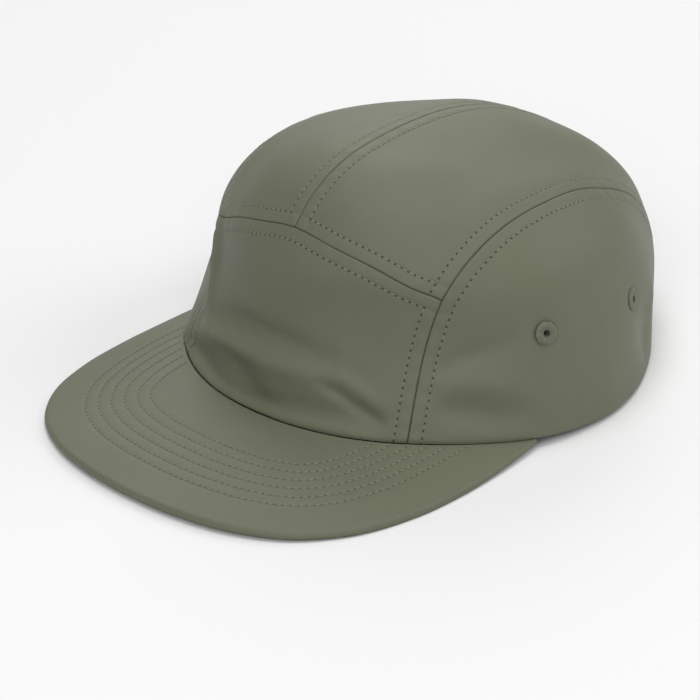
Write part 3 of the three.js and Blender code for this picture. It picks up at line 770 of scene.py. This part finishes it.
class Look:
    """One material and its nodes."""

    def __init__(self, name):
        material = bpy.data.materials.new(name)
        material.use_nodes = True
        self.tree = material.node_tree
        self.tree.nodes.clear()

    def node(self, kind, settings=None, sockets=None, output=0):
        node = self.tree.nodes.new(kind)
        for name, value in (settings or {}).items():
            setattr(node, name, value)
        for name, value in (sockets or {}).items():
            if isinstance(value, Value):
                self.tree.links.new(value.socket, node.inputs[name])
            else:
                node.inputs[name].default_value = value
        return Value(self, node.outputs[output]) if node.outputs else None

    def attribute(self, name):
        return self.node("ShaderNodeAttribute", {"attribute_name": name}, output="Fac")

    def noise(self, scale, detail=2):
        place = self.node("ShaderNodeTexCoord", output="Object")
        return self.node("ShaderNodeTexNoise",
                         sockets={"Vector": place, "Scale": scale, "Detail": detail})

    def cloth_map(self):
        """Lengths across and along the cloth."""
        flat = self.node("ShaderNodeUVMap", {"uv_map": "cloth"})
        return (self.node("ShaderNodeSeparateXYZ", sockets={"Vector": flat}, output=axis)
                for axis in "XY")

    def mixed(self, first, second, amount):
        """Between two colours, each a tuple or a value."""
        first, second = ((*tint, 1) if isinstance(tint, tuple) else tint
                         for tint in (first, second))
        return self.node("ShaderNodeMix", {"data_type": "RGBA"},
                         {6: first, 7: second, 0: amount}, output=2)

    def bumped(self, height, distance, strength, under=None):
        sockets = {"Height": height, "Distance": distance, "Strength": strength}
        if under is not None:
            sockets["Normal"] = under
        return self.node("ShaderNodeBump", sockets=sockets)

    def finish(self, tint, roughness, normal, **constants):
        sockets = {"Base Color": tint, "Roughness": roughness, "Normal": normal}
        sockets.update({name.replace("_", " "): value for name, value in constants.items()})
        shader = self.node("ShaderNodeBsdfPrincipled", sockets=sockets)
        self.node("ShaderNodeOutputMaterial", sockets={"Surface": shader})


WEAVE_PITCH = 0.36 * MM
RIB_PITCH = 1.5 * MM
YARN_PITCH = 0.9 * MM
SEAM_SHADOW_WIDTH = 0.38


def shade(tint, factor):
    return tuple(min(c * factor, 1) for c in tint)


def cloth_look(look, tint):
    """Fine woven cloth with a faint sheen: cloudy tone, threads, and shadow in the seams."""
    cloud, patchy, grain = look.noise(26, 3), look.noise(130), look.noise(1500)
    across, along = look.cloth_map()
    weave = across.turned(WEAVE_PITCH).sine() * along.turned(WEAVE_PITCH).sine()
    dark = 1 - look.attribute("seam").between(0.0, SEAM_SHADOW_WIDTH)
    tone = cloud.swing(0.5) + patchy.swing(0.28) + grain.swing(0.4) + weave * 0.06 + 0.5
    cloth = look.mixed(shade(tint, 0.88), shade(tint, 1.12), tone)
    cloth = look.mixed(cloth, shade(tint, 0.25), dark * (patchy.between(0.25, 0.7) * 0.45 + 0.45))
    fine = look.bumped(weave * 0.5 + grain.swing(1.1), 0.03 * MM, 0.45)
    look.finish(cloth, cloud.swing(0.10) + grain.swing(0.12) + 0.56,
                look.bumped(patchy + cloud * 2, 0.16 * MM, 0.5, fine),
                Sheen_Weight=0.06, Sheen_Roughness=0.5, Specular_IOR_Level=0.3)


def thread_look(look, tint, dark_tint):
    """Twisted thread, with shadow where the needle went in."""
    grain = look.noise(2600)
    yarn = look.mixed(shade(tint, 0.82), shade(tint, 1.2), grain)
    look.finish(look.mixed(yarn, dark_tint, look.attribute("hole")), grain * 0.2 + 0.5,
                look.bumped(grain, 0.05 * MM, 0.6), Sheen_Weight=0.2)


def eyelet_look(look, tint):
    """Close satin stitches that run from the hole to the rim, with painted shade in the gaps
    between them, down the hole and along the outer rim.
    """
    grain, ridge = look.noise(1800), look.attribute("ridge")
    # Painted shade: the gaps between the stitch ridges are darker than their crests
    satin = look.mixed(shade(tint, 0.26), shade(tint, 0.85), ridge * 0.75 + grain * 0.3)
    look.finish(look.mixed(satin, shade(tint, 0.12), look.attribute("inside")),
                0.62 - ridge * 0.12, look.bumped(grain, 0.04 * MM, 0.6), Sheen_Weight=0.2)


def webbing_look(look, tint):
    """Coarse ribbed webbing."""
    grain = look.noise(1400)
    across, along = look.cloth_map()
    rib = across.turned(RIB_PITCH).sine()
    yarn = (along.turned(YARN_PITCH) + rib * 1.4).sine()
    height = rib * 0.3 + yarn * 0.3 + grain * 0.3
    look.finish(look.mixed(shade(tint, 0.7), shade(tint, 1.2), height + 0.35),
                0.78 - grain * 0.15, look.bumped(height, 0.22 * MM, 0.8), Sheen_Weight=0.15)


def plastic_look(look, tint):
    """Moulded plastic with a fine grain, rubbed a little lighter along its edges."""
    grain, wear = look.noise(2200, 3), look.noise(160, 4)
    rubbed = look.attribute("edge") * wear.between(0.4, 0.7) * 0.7 + grain * 0.15
    look.finish(look.mixed(shade(tint, 0.9), shade(tint, 1.7), rubbed), 0.42 + wear * 0.12,
                look.bumped(grain, 0.05 * MM, 0.5), Specular_IOR_Level=0.5)


def floor_look(look, tint):
    """Smooth pale paper."""
    cloud = look.noise(2, 1)
    look.finish(look.mixed(tint, shade(tint, 1.01), cloud), 0.9 + cloud * 0.02,
                look.bumped(cloud, 0.01 * MM, 0.1), Specular_IOR_Level=0.1)


LOOKS = {
    "sewn_crown_cloth": (cloth_look, "cloth"),
    "sewn_peak_cloth": (cloth_look, "peak"),
    "sewing_thread": (thread_look, "thread", "needle_hole"),
    "eyelet_satin": (eyelet_look, "thread"),
    "ribbed_webbing": (webbing_look, "webbing"),
    "moulded_slide": (plastic_look, "slide"),
    "pale_floor": (floor_look, "floor"),
}


def look_named(name):
    """A material, made when it is first asked for."""
    if name not in bpy.data.materials:
        maker, *tints = LOOKS[name]
        colours = bpy.context.scene.cap_colours
        maker(Look(name), *[tuple(getattr(colours, tint)) for tint in tints])
    return bpy.data.materials[name]


# Panels

class CAP_OT_front_panel(bpy.types.Operator):
    """Sew the upright front panel"""
    bl_idname = "cap.front_panel"
    bl_label = "Front panel"

    def execute(self, context):
        seams = left_seams()
        top, left = seams["whole_transverse"], seams["front_side"]
        right = sided(left, -1)
        sew_panel("front_panel_cloth", "front_panel", (front_hem, top, right, left),
                  *map(stops, FRONT_SPAN), [top, left, right], front_hem, level=True)
        return {"FINISHED"}


class CAP_OT_top_panels(bpy.types.Operator):
    """Sew the two long panels over the top"""
    bl_idname = "cap.top_panels"
    bl_label = "Top panels"

    def execute(self, context):
        seams = left_seams()
        for side, word in SIDES:
            edges = [sided(seams[key], side)
                     for key in ("middle", "top_side", "transverse", "arch")]
            sew_panel(f"top_panel_cloth_{word}", f"top_panel_{word}", edges, stops(TOP_SPAN[0]),
                      stops(TOP_SPAN[1], [1 - ARCH_HEM_SHARE]), edges[:3], edges[3])
        return {"FINISHED"}


def eyelet_seats():
    """Side, name, middle and outward direction of each eyelet."""
    for side, word in SIDES:
        for name, (across, along) in EYELETS.items():
            disc = np.array([side * across, along])
            yield word, name, crown(disc), outward(crown, disc)


class CAP_OT_side_panels(bpy.types.Operator):
    """Sew the two side panels, with holes for the eyelets"""
    bl_idname = "cap.side_panels"
    bl_label = "Side panels"

    def execute(self, context):
        seams = left_seams()
        upper = part_of(seams["top_side"], 0, TOP_SHARE_OF_SIDE)
        back = part_of(seams["top_side"], 1, TOP_SHARE_OF_SIDE)
        hole = context.scene.cap_eyelets.hole / 2 + HOLE_MARGIN
        for side, word in SIDES:
            edges = [sided(edge, side) for edge in (side_hem, upper, seams["front_side"], back)]
            middles = [seat[2] for seat in eyelet_seats() if seat[0] == word]

            def clear(disc):
                away = [np.linalg.norm(crown(disc) - middle, axis=-1) for middle in middles]
                return np.min(away, axis=0) > hole

            sew_panel(f"side_panel_cloth_{word}", f"side_panel_{word}", edges,
                      *map(stops, SIDE_SPAN), [sided(seams["top_side"], side), edges[2]],
                      edges[0], level=True, kept_at=clear)
        return {"FINISHED"}


# Peak

def peak_flat(at):
    """Seat and rim of the peak on the flat, from end to end, both at shares -1 to 1."""
    sizes, wall = bpy.context.scene.cap_peak, bpy.context.scene.cap_crown.wall
    away, side = np.abs(at), np.where(at < 0, -1.0, 1.0)
    turn = sizes.end_turn * away
    hem = hem_point(turn)
    beside = unit(hem_point(turn + SLOPE_STEP) - hem_point(turn - SLOPE_STEP))
    seat = hem + wall * np.stack([-beside[..., 1], beside[..., 0]], -1)
    rim = hem + sizes.length * np.stack([smooth_table(PEAK_RIM, 1, away, odd=True),
                                         -smooth_table(PEAK_RIM, 2, away)], -1)
    mirror = np.stack([side, np.ones_like(side)], -1)
    return seat * mirror, rim * mirror


def peak_rim_line(count):
    return peak_flat(np.linspace(-1, 1, count))[1]


class CAP_OT_peak(bpy.types.Operator):
    """Sew the curved peak with its stitched rows"""
    bl_idname = "cap.peak"
    bl_label = "Peak"

    def execute(self, context):
        sizes = context.scene.cap_peak
        at = np.linspace(-1, 1, PEAK_COLUMNS)
        ones = np.ones_like(at)
        seat, rim = peak_flat(at)
        thickness = mix(sizes.thickness, sizes.end_thickness, at**4)
        hem = bottom_height(sizes.end_turn * np.abs(at)) - PEAK_SEAT_GAP
        seat_middle = hem - thickness / 2
        rim_middle = mix(sizes.tip, hem[0] - sizes.end_thickness / 2, at**4)
        width = np.linalg.norm(rim - seat, axis=-1)
        nose = np.minimum(sizes.edge_round, width / 4) / np.maximum(width, 1e-6)

        # Over the top, round the rim and back below: place from seat to rim, and which side
        rows = [(t * (1 - nose), ones) for t in np.linspace(0, 1, PEAK_UPPER)]
        rows += [(1 - nose + nose * math.sin(angle), ones * math.cos(angle))
                 for angle in np.linspace(0, math.pi, PEAK_BEND)[1:-1]]
        rows += [(t * (1 - nose), -ones) for t in np.linspace(1, 0, PEAK_UNDER)]
        t, lift = (np.stack(part, 1) for part in zip(*rows))
        flat = mix(seat[:, None], rim[:, None], t[..., None])
        bow = sizes.arch * (1 - at**2)[:, None] * 4 * t * (1 - t)
        middle = mix(seat_middle[:, None], rim_middle[:, None], t) + bow
        height = middle + lift * thickness[:, None] / 2
        points = np.concatenate([flat, height[..., None]], -1)
        free = smooth_step(t, 0, PEAK_HELD_AT_SEAT) * (lift > PEAK_TOP)
        points[..., 2] += peak_relief(points) * free

        at, beside, after, diagonal = ring_corners(*points.shape[:2])
        faces = quads(at[:-1], after[:-1], diagonal[:-1], beside[:-1])
        faces += [at[0].tolist(), at[-1, ::-1].tolist()]
        flat_points = points.reshape(-1, 3)
        piece = new_piece("peak_cloth_piece", in_place(flat_points), faces, "sewn_peak_cloth")
        add_cloth_map(piece, flat_points[:, :2])
        # Painted shade and the edge seam: the lower half of the rounded edge takes the dark seam
        # colour
        seam_and_shade_band = (t < t.max()) & (lift >= PEAK_SEAM_AND_SHADE_LOW) & (lift <= PEAK_SEAM_AND_SHADE_HIGH)
        add_numbers(piece, "seam", np.where(seam_and_shade_band, PEAK_SEAM_AND_SHADE, NO_SEAM) / MM)
        settle(piece, "peak_cloth", "peak")
        return {"FINISHED"}


# Stitched rows

def row_beside(line, inside, offset):
    """Points of the disc beside a seam, on the side where a given point lies."""
    disc = line(np.linspace(0, 1, ROW_POINTS))
    points = crown(disc)
    beside = np.cross(outward(crown, disc), unit(np.gradient(points, axis=0)))
    middle = len(disc) // 2
    if beside[middle] @ (crown(np.array(inside)) - points[middle]) < 0:
        beside = -beside
    target = points + beside * offset
    for _ in range(ROW_STEPS):
        miss = target - crown(disc)
        across, along = (slope / (2 * SLOPE_STEP) for slope in slopes(crown, disc))
        aa, ab, bb = (across**2).sum(-1), (across * along).sum(-1), (along**2).sum(-1)
        pa, pb = (across * miss).sum(-1), (along * miss).sum(-1)
        step = np.stack([bb * pa - ab * pb, aa * pb - ab * pa], -1)
        disc = disc + step / (aa * bb - ab**2)[..., None]
    return disc


def kept_runs(points, kept, least=4):
    """The unbroken stretches of a line, without those of too few points."""
    breaks = np.flatnonzero(np.diff([False, *kept, False]))
    return [points[start:end] for start, end in zip(breaks[::2], breaks[1::2])
            if end - start >= least]


def stitch_ends(points, pitch):
    run = run_along(points)
    at = np.linspace(0, run[-1], max(round(run[-1] / pitch), 1) + 1)
    return np.stack([np.interp(at, run, points[:, k]) for k in range(3)], -1)


def tree_of(name):
    mesh = bpy.data.objects[name].data
    return BVHTree.FromPolygons([v.co for v in mesh.vertices], [p.vertices for p in mesh.polygons])


class Thread:
    """Stitches in one mesh: a short bowed thread for each, and a shadowed hole at its ends."""
    SIDES = 6
    STATIONS = np.array([0.0, 0.12, 0.35, 0.65, 0.88, 1.0])
    GIRTH = np.array([0.30, 0.85, 1.0, 1.0, 0.85, 0.30])
    GAP = 0.10
    SINK = 0.55
    HOLE_SIDES = 8
    HOLE_WIDTH, HOLE_LENGTH = 0.8, 1.25
    HOLE_LOW, HOLE_HIGH, HOLE_TOP = -0.12 * MM, 0.05 * MM, 0.7

    def __init__(self, thread, hole, rise=0.55):
        self.thread, self.hole, self.rise = thread, hole, rise
        self.vertices, self.faces, self.holes, self.count = [], [], [], 0

    def take(self, rings, is_hole):
        """Add rings of points, joined in order and closed at both ends."""
        count, size = rings.shape[:2]
        at, beside, after, diagonal = (part + self.count for part in ring_corners(count, size))
        self.faces += quads(at[:-1], beside[:-1], diagonal[:-1], after[:-1])
        self.faces += [at[0, ::-1].tolist(), at[-1].tolist()]
        self.vertices.append(rings.reshape(-1, 3))
        self.holes.append(np.full(count * size, float(is_hole)))
        self.count += count * size

    def stitch(self, start, end, normal):
        along = unit(end - start)
        aside = unit(np.cross(normal, along))
        up = np.cross(along, aside)
        size, radius = np.linalg.norm(end - start), self.thread / 2
        gap, place = self.GAP * size, self.STATIONS[:, None]
        bow = radius * (self.rise * 4 * place * (1 - place) * 1.6 - self.SINK)
        centres = start + along * mix(gap, size - gap, place) + up * bow
        ring = spokes(self.SIDES, aside, up)
        self.take(centres[:, None] + radius * self.GIRTH[:, None, None] * ring, False)

    def needle_hole(self, centre, normal, along):
        aside = unit(np.cross(normal, along))
        along = np.cross(aside, normal)
        ring = centre + self.hole / 2 * spokes(self.HOLE_SIDES, self.HOLE_WIDTH * aside,
                                               self.HOLE_LENGTH * along)
        top = mix(centre, ring, self.HOLE_TOP) + normal * self.HOLE_HIGH
        self.take(np.stack([ring + normal * self.HOLE_LOW, top]), True)

    def row(self, found):
        """One row through places on the cloth, each with its outward direction."""
        ends, normals = (np.array([place[k] for place in found]) for k in (0, 1))
        for k in range(len(ends) - 1):
            self.stitch(ends[k], ends[k + 1], unit(normals[k] + normals[k + 1]))
        for k in range(len(ends)):
            along = ends[min(k + 1, len(ends) - 1)] - ends[max(k - 1, 0)]
            self.needle_hole(ends[k], normals[k], unit(along))

    def finish(self, name, slot):
        piece = new_piece(name, np.concatenate(self.vertices), self.faces, "sewing_thread", 80)
        add_numbers(piece, "hole", np.concatenate(self.holes))
        settle(piece, slot)


def sew_row(thread, tree, line, inside, ends_at=()):
    """One row beside a seam, ended where it meets others: ends_at has lines and distances."""
    sizes = bpy.context.scene.cap_seams
    points = crown(row_beside(line, inside, sizes.row))
    kept = np.ones(len(points), bool)
    for other, reach in ends_at:
        kept &= line_distance(points, other)[0] > reach
    for stretch in kept_runs(points, kept):
        thread.row([tree.find_nearest(Vector(point))
                    for point in in_place(stitch_ends(stretch, sizes.stitch))])


class CAP_OT_seam_stitches(bpy.types.Operator):
    """Stitch the rows beside every seam of the crown"""
    bl_idname = "cap.seam_stitches"
    bl_label = "Seam stitches"

    def execute(self, context):
        sizes = context.scene.cap_seams
        meets = sizes.row * ROW_MEETS
        thread = Thread(sizes.thread, sizes.hole)
        seams = left_seams()
        laid = {key: laid_line(line) for key, line in seams.items()}
        laid["hem"] = laid_line(front_hem)

        tree, inside = tree_of("front_panel_cloth"), (0, -0.8)
        sew_row(thread, tree, seams["whole_transverse"], inside,
                [(laid["front_side"] * [side, 1, 1], meets) for side, _ in SIDES])
        for side, _ in SIDES:
            sew_row(thread, tree, sided(seams["front_side"], side), inside,
                    [(laid["whole_transverse"], meets), (laid["hem"], STOP_AT_HEM)])

        top_rows = {
            "transverse": {"middle": meets, "top_side": meets},
            "middle": {"transverse": meets, "arch": sizes.row},
            "top_side": {"transverse": STOP_AT_CROSSING, "arch": STOP_AT_ARCH},
            "arch": {"top_side": sizes.row, "middle": STOP_AT_MIDDLE},
        }
        front = seams["front_side"](np.linspace(0, 1, 80))
        top = seams["top_side"](np.linspace(0, 1, 240))
        side_edge = smooth_line(np.concatenate([front, top[1:]])[::8])
        for side, word in SIDES:
            tree = tree_of(f"top_panel_cloth_{word}")
            for key, ends in top_rows.items():
                sew_row(thread, tree, sided(seams[key], side), (side * 0.26, 0.0),
                        [(laid[other] * [side, 1, 1], reach) for other, reach in ends.items()])
            sew_row(thread, tree_of(f"side_panel_cloth_{word}"), sided(side_edge, side),
                    (side * 0.75, 0.0))
        thread.finish("seam_stitches", "crown_cloth")
        return {"FINISHED"}


def beyond_hem(points):
    """Whether points on the flat lie outside the hem's outline."""
    hem = hem_point(np.linspace(-math.pi, math.pi, HEM_POINTS))
    hem_turn = np.arctan2(hem[:, 0], -hem[:, 1])
    order = np.argsort(hem_turn)
    turn = np.arctan2(points[:, 0], -points[:, 1])
    reach = np.interp(turn, hem_turn[order], np.linalg.norm(hem, axis=1)[order])
    return np.hypot(points[:, 0], points[:, 1]) > reach + STOP_PAST_HEM


class CAP_OT_peak_stitches(bpy.types.Operator):
    """Stitch the rows that follow the peak's rim"""
    bl_idname = "cap.peak_stitches"
    bl_label = "Peak stitches"

    def execute(self, context):
        sizes, seams = context.scene.cap_peak, context.scene.cap_seams
        thread = Thread(seams.thread * PEAK_THREAD, seams.hole * PEAK_HOLE, PEAK_RISE)
        tree = tree_of("peak_cloth_piece")
        above, down = 50 * MM, Vector((0, 0, -1))
        rim = peak_rim_line(RIM_ROW_POINTS)
        tangent = unit(np.gradient(rim, axis=0))
        inward = np.stack([-tangent[:, 1], tangent[:, 0]], -1)
        for k in range(sizes.rows):
            offset = sizes.first_row + k * sizes.row_step
            points = rim + inward * offset
            clear = line_distance(points, rim)[0] > offset - ROW_TOLERANCE
            for stretch in kept_runs(points, clear & beyond_hem(points)):
                flat = np.pad(stretch, ((0, 0), (0, 1)))
                hits = [tree.ray_cast(Vector((x, y, above)), down)
                        for x, y, _ in in_place(stitch_ends(flat, seams.stitch))]
                hits = [hit for hit in hits if hit[0] is not None]
                if len(hits) > 1:
                    thread.row(hits)
        thread.finish("peak_stitches", "peak_cloth")
        return {"FINISHED"}


# Eyelets

EYELET_BARREL = 2.3 * MM
EYELET_BACK = 0.4 * MM
EYELET_BACK_RIM, EYELET_BACK_TURN = 3.5 * MM, 3.3 * MM
EYELET_DOME_STOPS = 15
EYELET_RIDGE_OUT, EYELET_RIDGE_UP = 0.06 * MM, 0.16 * MM
EYELET_UNEVEN = 0.4 * MM
EYELET_STITCH_STOPS = 4


class CAP_OT_eyelets(bpy.types.Operator):
    """Stitch the four domed eyelets"""
    bl_idname = "cap.eyelets"
    bl_label = "Eyelets"

    def execute(self, context):
        sizes = context.scene.cap_eyelets
        hole, rim = sizes.hole / 2, sizes.diameter / 2
        back = -context.scene.cap_crown.wall - EYELET_BACK

        # Section from the hole's back, up the barrel and over the dome: radius, height, stitching
        section = [(hole, back - 0.4 * MM, 0), (EYELET_BACK_TURN, back - 0.5 * MM, 0),
                   (EYELET_BACK_RIM, back, 0), (EYELET_BARREL, back, 0),
                   (EYELET_BARREL, -0.4 * MM, 0), (rim, -0.8 * MM, 0)]
        for angle in np.linspace(0, math.pi, EYELET_DOME_STOPS):
            section.append((mix(rim, hole, (1 - math.cos(angle)) / 2),
                            sizes.dome * math.sin(angle) ** 0.8 - 0.5 * MM, math.sin(angle)))
        section.append((hole, -0.9 * MM, 0))
        section_radius, section_height, stitched = np.array(section).T[..., None]

        around = EYELET_STITCH_STOPS * sizes.stitches
        # Ridges of the satin stitches: they shape the ring, and the look paints shade in the gaps
        # between them
        ridge = np.abs(np.sin(np.arange(around) * math.pi / EYELET_STITCH_STOPS)) ** 0.6
        outer_share = np.clip((section_radius - hole) / (rim - hole), 0, 1)
        # Painted shade: dark down the hole and along the outer rim
        inside = smooth_step(-section_radius, -hole - 0.9 * MM, -hole)
        inside = np.maximum(inside, 0.7 * (section_radius > rim - 0.12 * MM))
        shape = (len(section), around)
        at, beside, after, diagonal = ring_corners(*shape)
        random = np.random.default_rng(EYELET_SEED)
        for word, name, middle, normal in eyelet_seats():
            reach = np.repeat(random.uniform(-1, 0, sizes.stitches), EYELET_STITCH_STOPS)
            reach = reach * EYELET_UNEVEN
            east = unit(np.cross([0, 0, 1.0], normal))
            north = np.cross(normal, east)
            radius = section_radius + stitched ** 0.5 * (EYELET_RIDGE_OUT * ridge
                                                         + reach * outer_share)
            height = section_height + stitched * (EYELET_RIDGE_UP * ridge + reach * 0.4)
            rings = (middle + radius[..., None] * spokes(around, east, north)
                     + height[..., None] * normal)
            piece = new_piece(f"eyelet_ring_{word}_{name}", in_place(rings.reshape(-1, 3)),
                              quads(after, diagonal, beside, at), "eyelet_satin", sharp=120)
            add_numbers(piece, "ridge", np.broadcast_to(ridge, shape))
            add_numbers(piece, "inside", np.broadcast_to(inside, shape))
            settle(piece, "eyelet_thread", f"eyelet_{word}_{name}")
        return {"FINISHED"}


# Strap and slide

STRAP_COLUMNS, STRAP_ROWS = 161, 39
STRAP_RIB, STRAP_RIB_COLUMNS = 0.10 * MM, 4
STRAP_EDGE, STRAP_PLAIN_EDGE = 0.5 * MM, 0.4 * MM
SLIDE_SOFT = 0.6 * MM
SLIDE_CORNER, SLIDE_LEAST_CORNER, SLOT_CORNER = 1.5 * MM, 0.4 * MM, 0.5 * MM
SLIDE_WORN_FROM = 0.9


class CAP_OT_back_strap(bpy.types.Operator):
    """Weave the strap across the back arch"""
    bl_idname = "cap.back_strap"
    bl_label = "Back strap"

    def execute(self, context):
        sizes = context.scene.cap_back
        depth = context.scene.cap_crown.wall + sizes.strap_gap
        turns = math.pi + np.linspace(-sizes.strap_end, sizes.strap_end, STRAP_COLUMNS)
        ups = np.linspace(0, 1, STRAP_ROWS)
        turns, heights = np.meshgrid(turns, sizes.strap_bottom + sizes.strap_width * ups,
                                     indexing="ij")
        disc = disc_at_height(turns, heights)
        points, normal = crown(disc), outward(crown, disc)
        edge = np.minimum(ups, 1 - ups) * sizes.strap_width
        thin = 0.5 * hump(edge, STRAP_EDGE)
        rib = np.abs(np.sin(np.arange(STRAP_COLUMNS) * math.pi / STRAP_RIB_COLUMNS))[:, None]
        rib = STRAP_RIB * rib * (edge > STRAP_PLAIN_EDGE)
        outer = points - normal * (depth + sizes.strap_thickness * thin + rib)[..., None]
        inner = points - normal * (depth + sizes.strap_thickness * (1 - thin) - rib)[..., None]
        strap = cloth_shell("strap_webbing", outer, inner, "ribbed_webbing",
                            np.full(turns.shape, NO_SEAM))
        settle(strap, "webbing", "back_strap")
        return {"FINISHED"}


def rounded_outline(width, height, corner, steps=6):
    """Points round a rectangle with round corners."""
    points = []
    for quarter, (sx, sy) in enumerate(((1, 1), (-1, 1), (-1, -1), (1, -1))):
        for k in range(steps + 1):
            angle = (quarter + k / steps) * math.pi / 2
            points.append((sx * (width / 2 - corner) + corner * math.cos(angle),
                           sy * (height / 2 - corner) + corner * math.sin(angle)))
    return np.array(points)


class CAP_OT_slide(bpy.types.Operator):
    """Mould the slide on the strap"""
    bl_idname = "cap.slide"
    bl_label = "Slide"

    def execute(self, context):
        sizes, cap = context.scene.cap_back, context.scene.cap_crown
        level = sizes.strap_bottom + sizes.strap_width / 2
        half = sizes.slide_length / 2
        middle = disc_at_height(math.pi, level)
        end = disc_at_height(math.pi + half / cap.hem_back, level)
        normal = outward(crown, middle)
        bow = (crown(middle) - crown(end)) @ normal
        depth = sizes.strap_thickness + bow
        slot = (sizes.strap_width + 2 * sizes.slide_clearance, depth + sizes.slide_clearance)
        up = unit(np.array([0, 0, 1.0]) - normal * normal[2])
        along = np.cross(up, normal)
        centre = crown(middle) - normal * (cap.wall + sizes.strap_gap + depth / 2)

        # Stations from end to end with how far the rounded ends are drawn in: out over the
        # slide, then back through its slot
        ends = [(half - SLIDE_SOFT * (1 - math.cos(angle)), SLIDE_SOFT * (1 - math.sin(angle)))
                for angle in np.linspace(0, math.pi / 2, 5)]
        outside = [(-place, inset) for place, inset in ends] + [(0, 0)] + ends[::-1]
        outlines = [(place, sizes.slide_wall - inset,
                     max(SLIDE_CORNER - inset / 2, SLIDE_LEAST_CORNER)) for place, inset in outside]
        outlines += [(place, inset / 2, SLOT_CORNER) for place, inset in reversed(outside)]
        rings = []
        for place, grown, corner in outlines:
            ring = rounded_outline(*(size + 2 * grown for size in slot), corner)
            rings.append(centre + ring[:, :1] * up + ring[:, 1:] * normal + place * along)
        rings = np.array(rings)
        at, beside, after, diagonal = ring_corners(*rings.shape[:2])
        piece = new_piece("strap_slide", in_place(rings.reshape(-1, 3)),
                          quads(at, beside, diagonal, after), "moulded_slide", sharp=40)
        worn = [abs(place) > SLIDE_WORN_FROM * half for place, _ in outside]
        worn += [False] * len(outside)
        add_numbers(piece, "edge", np.repeat(worn, rings.shape[1]))
        settle(piece, "slide_plastic", "buckle")
        return {"FINISHED"}


# Stage: the camera's place was solved in the hem's own frame, in metres

CAMERA_TURN = math.radians(43.62982527395868)
CAMERA_RISE = math.radians(25.58225259591242)
CAMERA_DISTANCE = 1.0
CAMERA_ASIDE = -28.55269242874615 * MM
CAMERA_UP = -3.5157811087668396 * MM
CAMERA_BACK = 1.6 * MM
CAMERA_CLIP = (0.05, 30)
FOCAL_PIXELS = 2600
IMAGE_PIXELS = 700
SENSOR = 36

# Lights: name, place and power. All face the cap.
STUDIO_LIGHTS = [
    ("overhead", (0.0, 0.0, 2.3), 25),
    ("behind_right", (-1.3, 1.35, 1.3), 16),
    ("behind_left", (1.3, 1.35, 1.3), 17),
    ("beside_camera", (1.3, -1.35, 1.3), 17),
    ("ahead", (0.5, -1.9, 1.2), 9.5),
]
LIGHT_SIZE = 1.6
LIGHT_TARGET = Vector((0, 0, 0.04))
ROOM_LIGHT = 0.21
FLOOR_RADIUS, FLOOR_SIDES = 6, 96


def place_camera():
    a, e = CAMERA_TURN, CAMERA_RISE
    back = np.array([math.sin(a) * math.cos(e), -math.cos(a) * math.cos(e), math.sin(e)])
    right = np.array([math.cos(a), math.sin(a), 0.0])
    up = np.cross(back, right)
    eye = CAMERA_ASIDE * right + CAMERA_UP * up + CAMERA_DISTANCE * back
    eye = eye + np.array([0, CAMERA_BACK, 0])
    data = bpy.data.cameras.new("camera")
    data.sensor_width, data.lens = SENSOR, FOCAL_PIXELS / IMAGE_PIXELS * SENSOR
    data.clip_start, data.clip_end = CAMERA_CLIP
    camera = bpy.data.objects.new("camera", data)
    bpy.context.scene.collection.objects.link(camera)
    matrix = Matrix.Identity(4)
    origin = in_place(np.zeros(3))
    for k, axis in enumerate((right, up, back)):
        matrix.col[k].xyz = in_place(axis) - origin
    matrix.translation = in_place(eye)
    camera.matrix_world = matrix
    bpy.context.scene.camera = camera


def soft_light(name, place, power):
    data = bpy.data.lights.new(name, "AREA")
    data.shape, data.size, data.energy = "DISK", LIGHT_SIZE, power
    light = bpy.data.objects.new(name, data)
    bpy.context.scene.collection.objects.link(light)
    light.location = place
    light.rotation_euler = (LIGHT_TARGET - Vector(place)).to_track_quat("-Z", "Y").to_euler()


class CAP_OT_stage(bpy.types.Operator):
    """Set the pale floor, the soft lights and the camera"""
    bl_idname = "cap.stage"
    bl_label = "Stage"

    def execute(self, context):
        scene = context.scene
        scene.view_settings.view_transform = "Standard"
        ring = FLOOR_RADIUS * spokes(FLOOR_SIDES, *np.eye(3)[:2])
        new_piece("floor", ring, [tuple(range(FLOOR_SIDES))], "pale_floor")
        scene.world = bpy.data.worlds.new("studio")
        scene.world.use_nodes = True
        room = scene.world.node_tree.nodes["Background"].inputs
        room["Color"].default_value = (1, 1, 1, 1)
        room["Strength"].default_value = ROOM_LIGHT
        for light in STUDIO_LIGHTS:
            soft_light(*light)
        place_camera()
        return {"FINISHED"}


class CAP_PT_sidebar(bpy.types.Panel):
    """Pieces and sizes of the cap"""
    bl_idname = "CAP_PT_sidebar"
    bl_label = "Five panel cap"
    bl_space_type = "VIEW_3D"
    bl_region_type = "UI"
    bl_category = "Cap"

    def draw(self, context):
        for operator in OPERATORS:
            self.layout.operator(operator.bl_idname)
        for name, group in GROUPS.items():
            box = self.layout.box()
            for setting in group.__annotations__:
                box.prop(getattr(context.scene, name), setting)


OPERATORS = (
    CAP_OT_front_panel, CAP_OT_top_panels, CAP_OT_side_panels, CAP_OT_peak,
    CAP_OT_seam_stitches, CAP_OT_peak_stitches, CAP_OT_eyelets, CAP_OT_back_strap,
    CAP_OT_slide, CAP_OT_stage,
)
CLASSES = (*GROUPS.values(), *OPERATORS, CAP_PT_sidebar)


def register():
    for cls in CLASSES:
        bpy.utils.register_class(cls)
    for name, group in GROUPS.items():
        setattr(bpy.types.Scene, name, PointerProperty(type=group))


def unregister():
    for name in GROUPS:
        delattr(bpy.types.Scene, name)
    for cls in reversed(CLASSES):
        bpy.utils.unregister_class(cls)


def main():
    register()
    for operator in OPERATORS:
        area, name = operator.bl_idname.split(".")
        getattr(getattr(bpy.ops, area), name)()


if __name__ == "__main__":
    main()
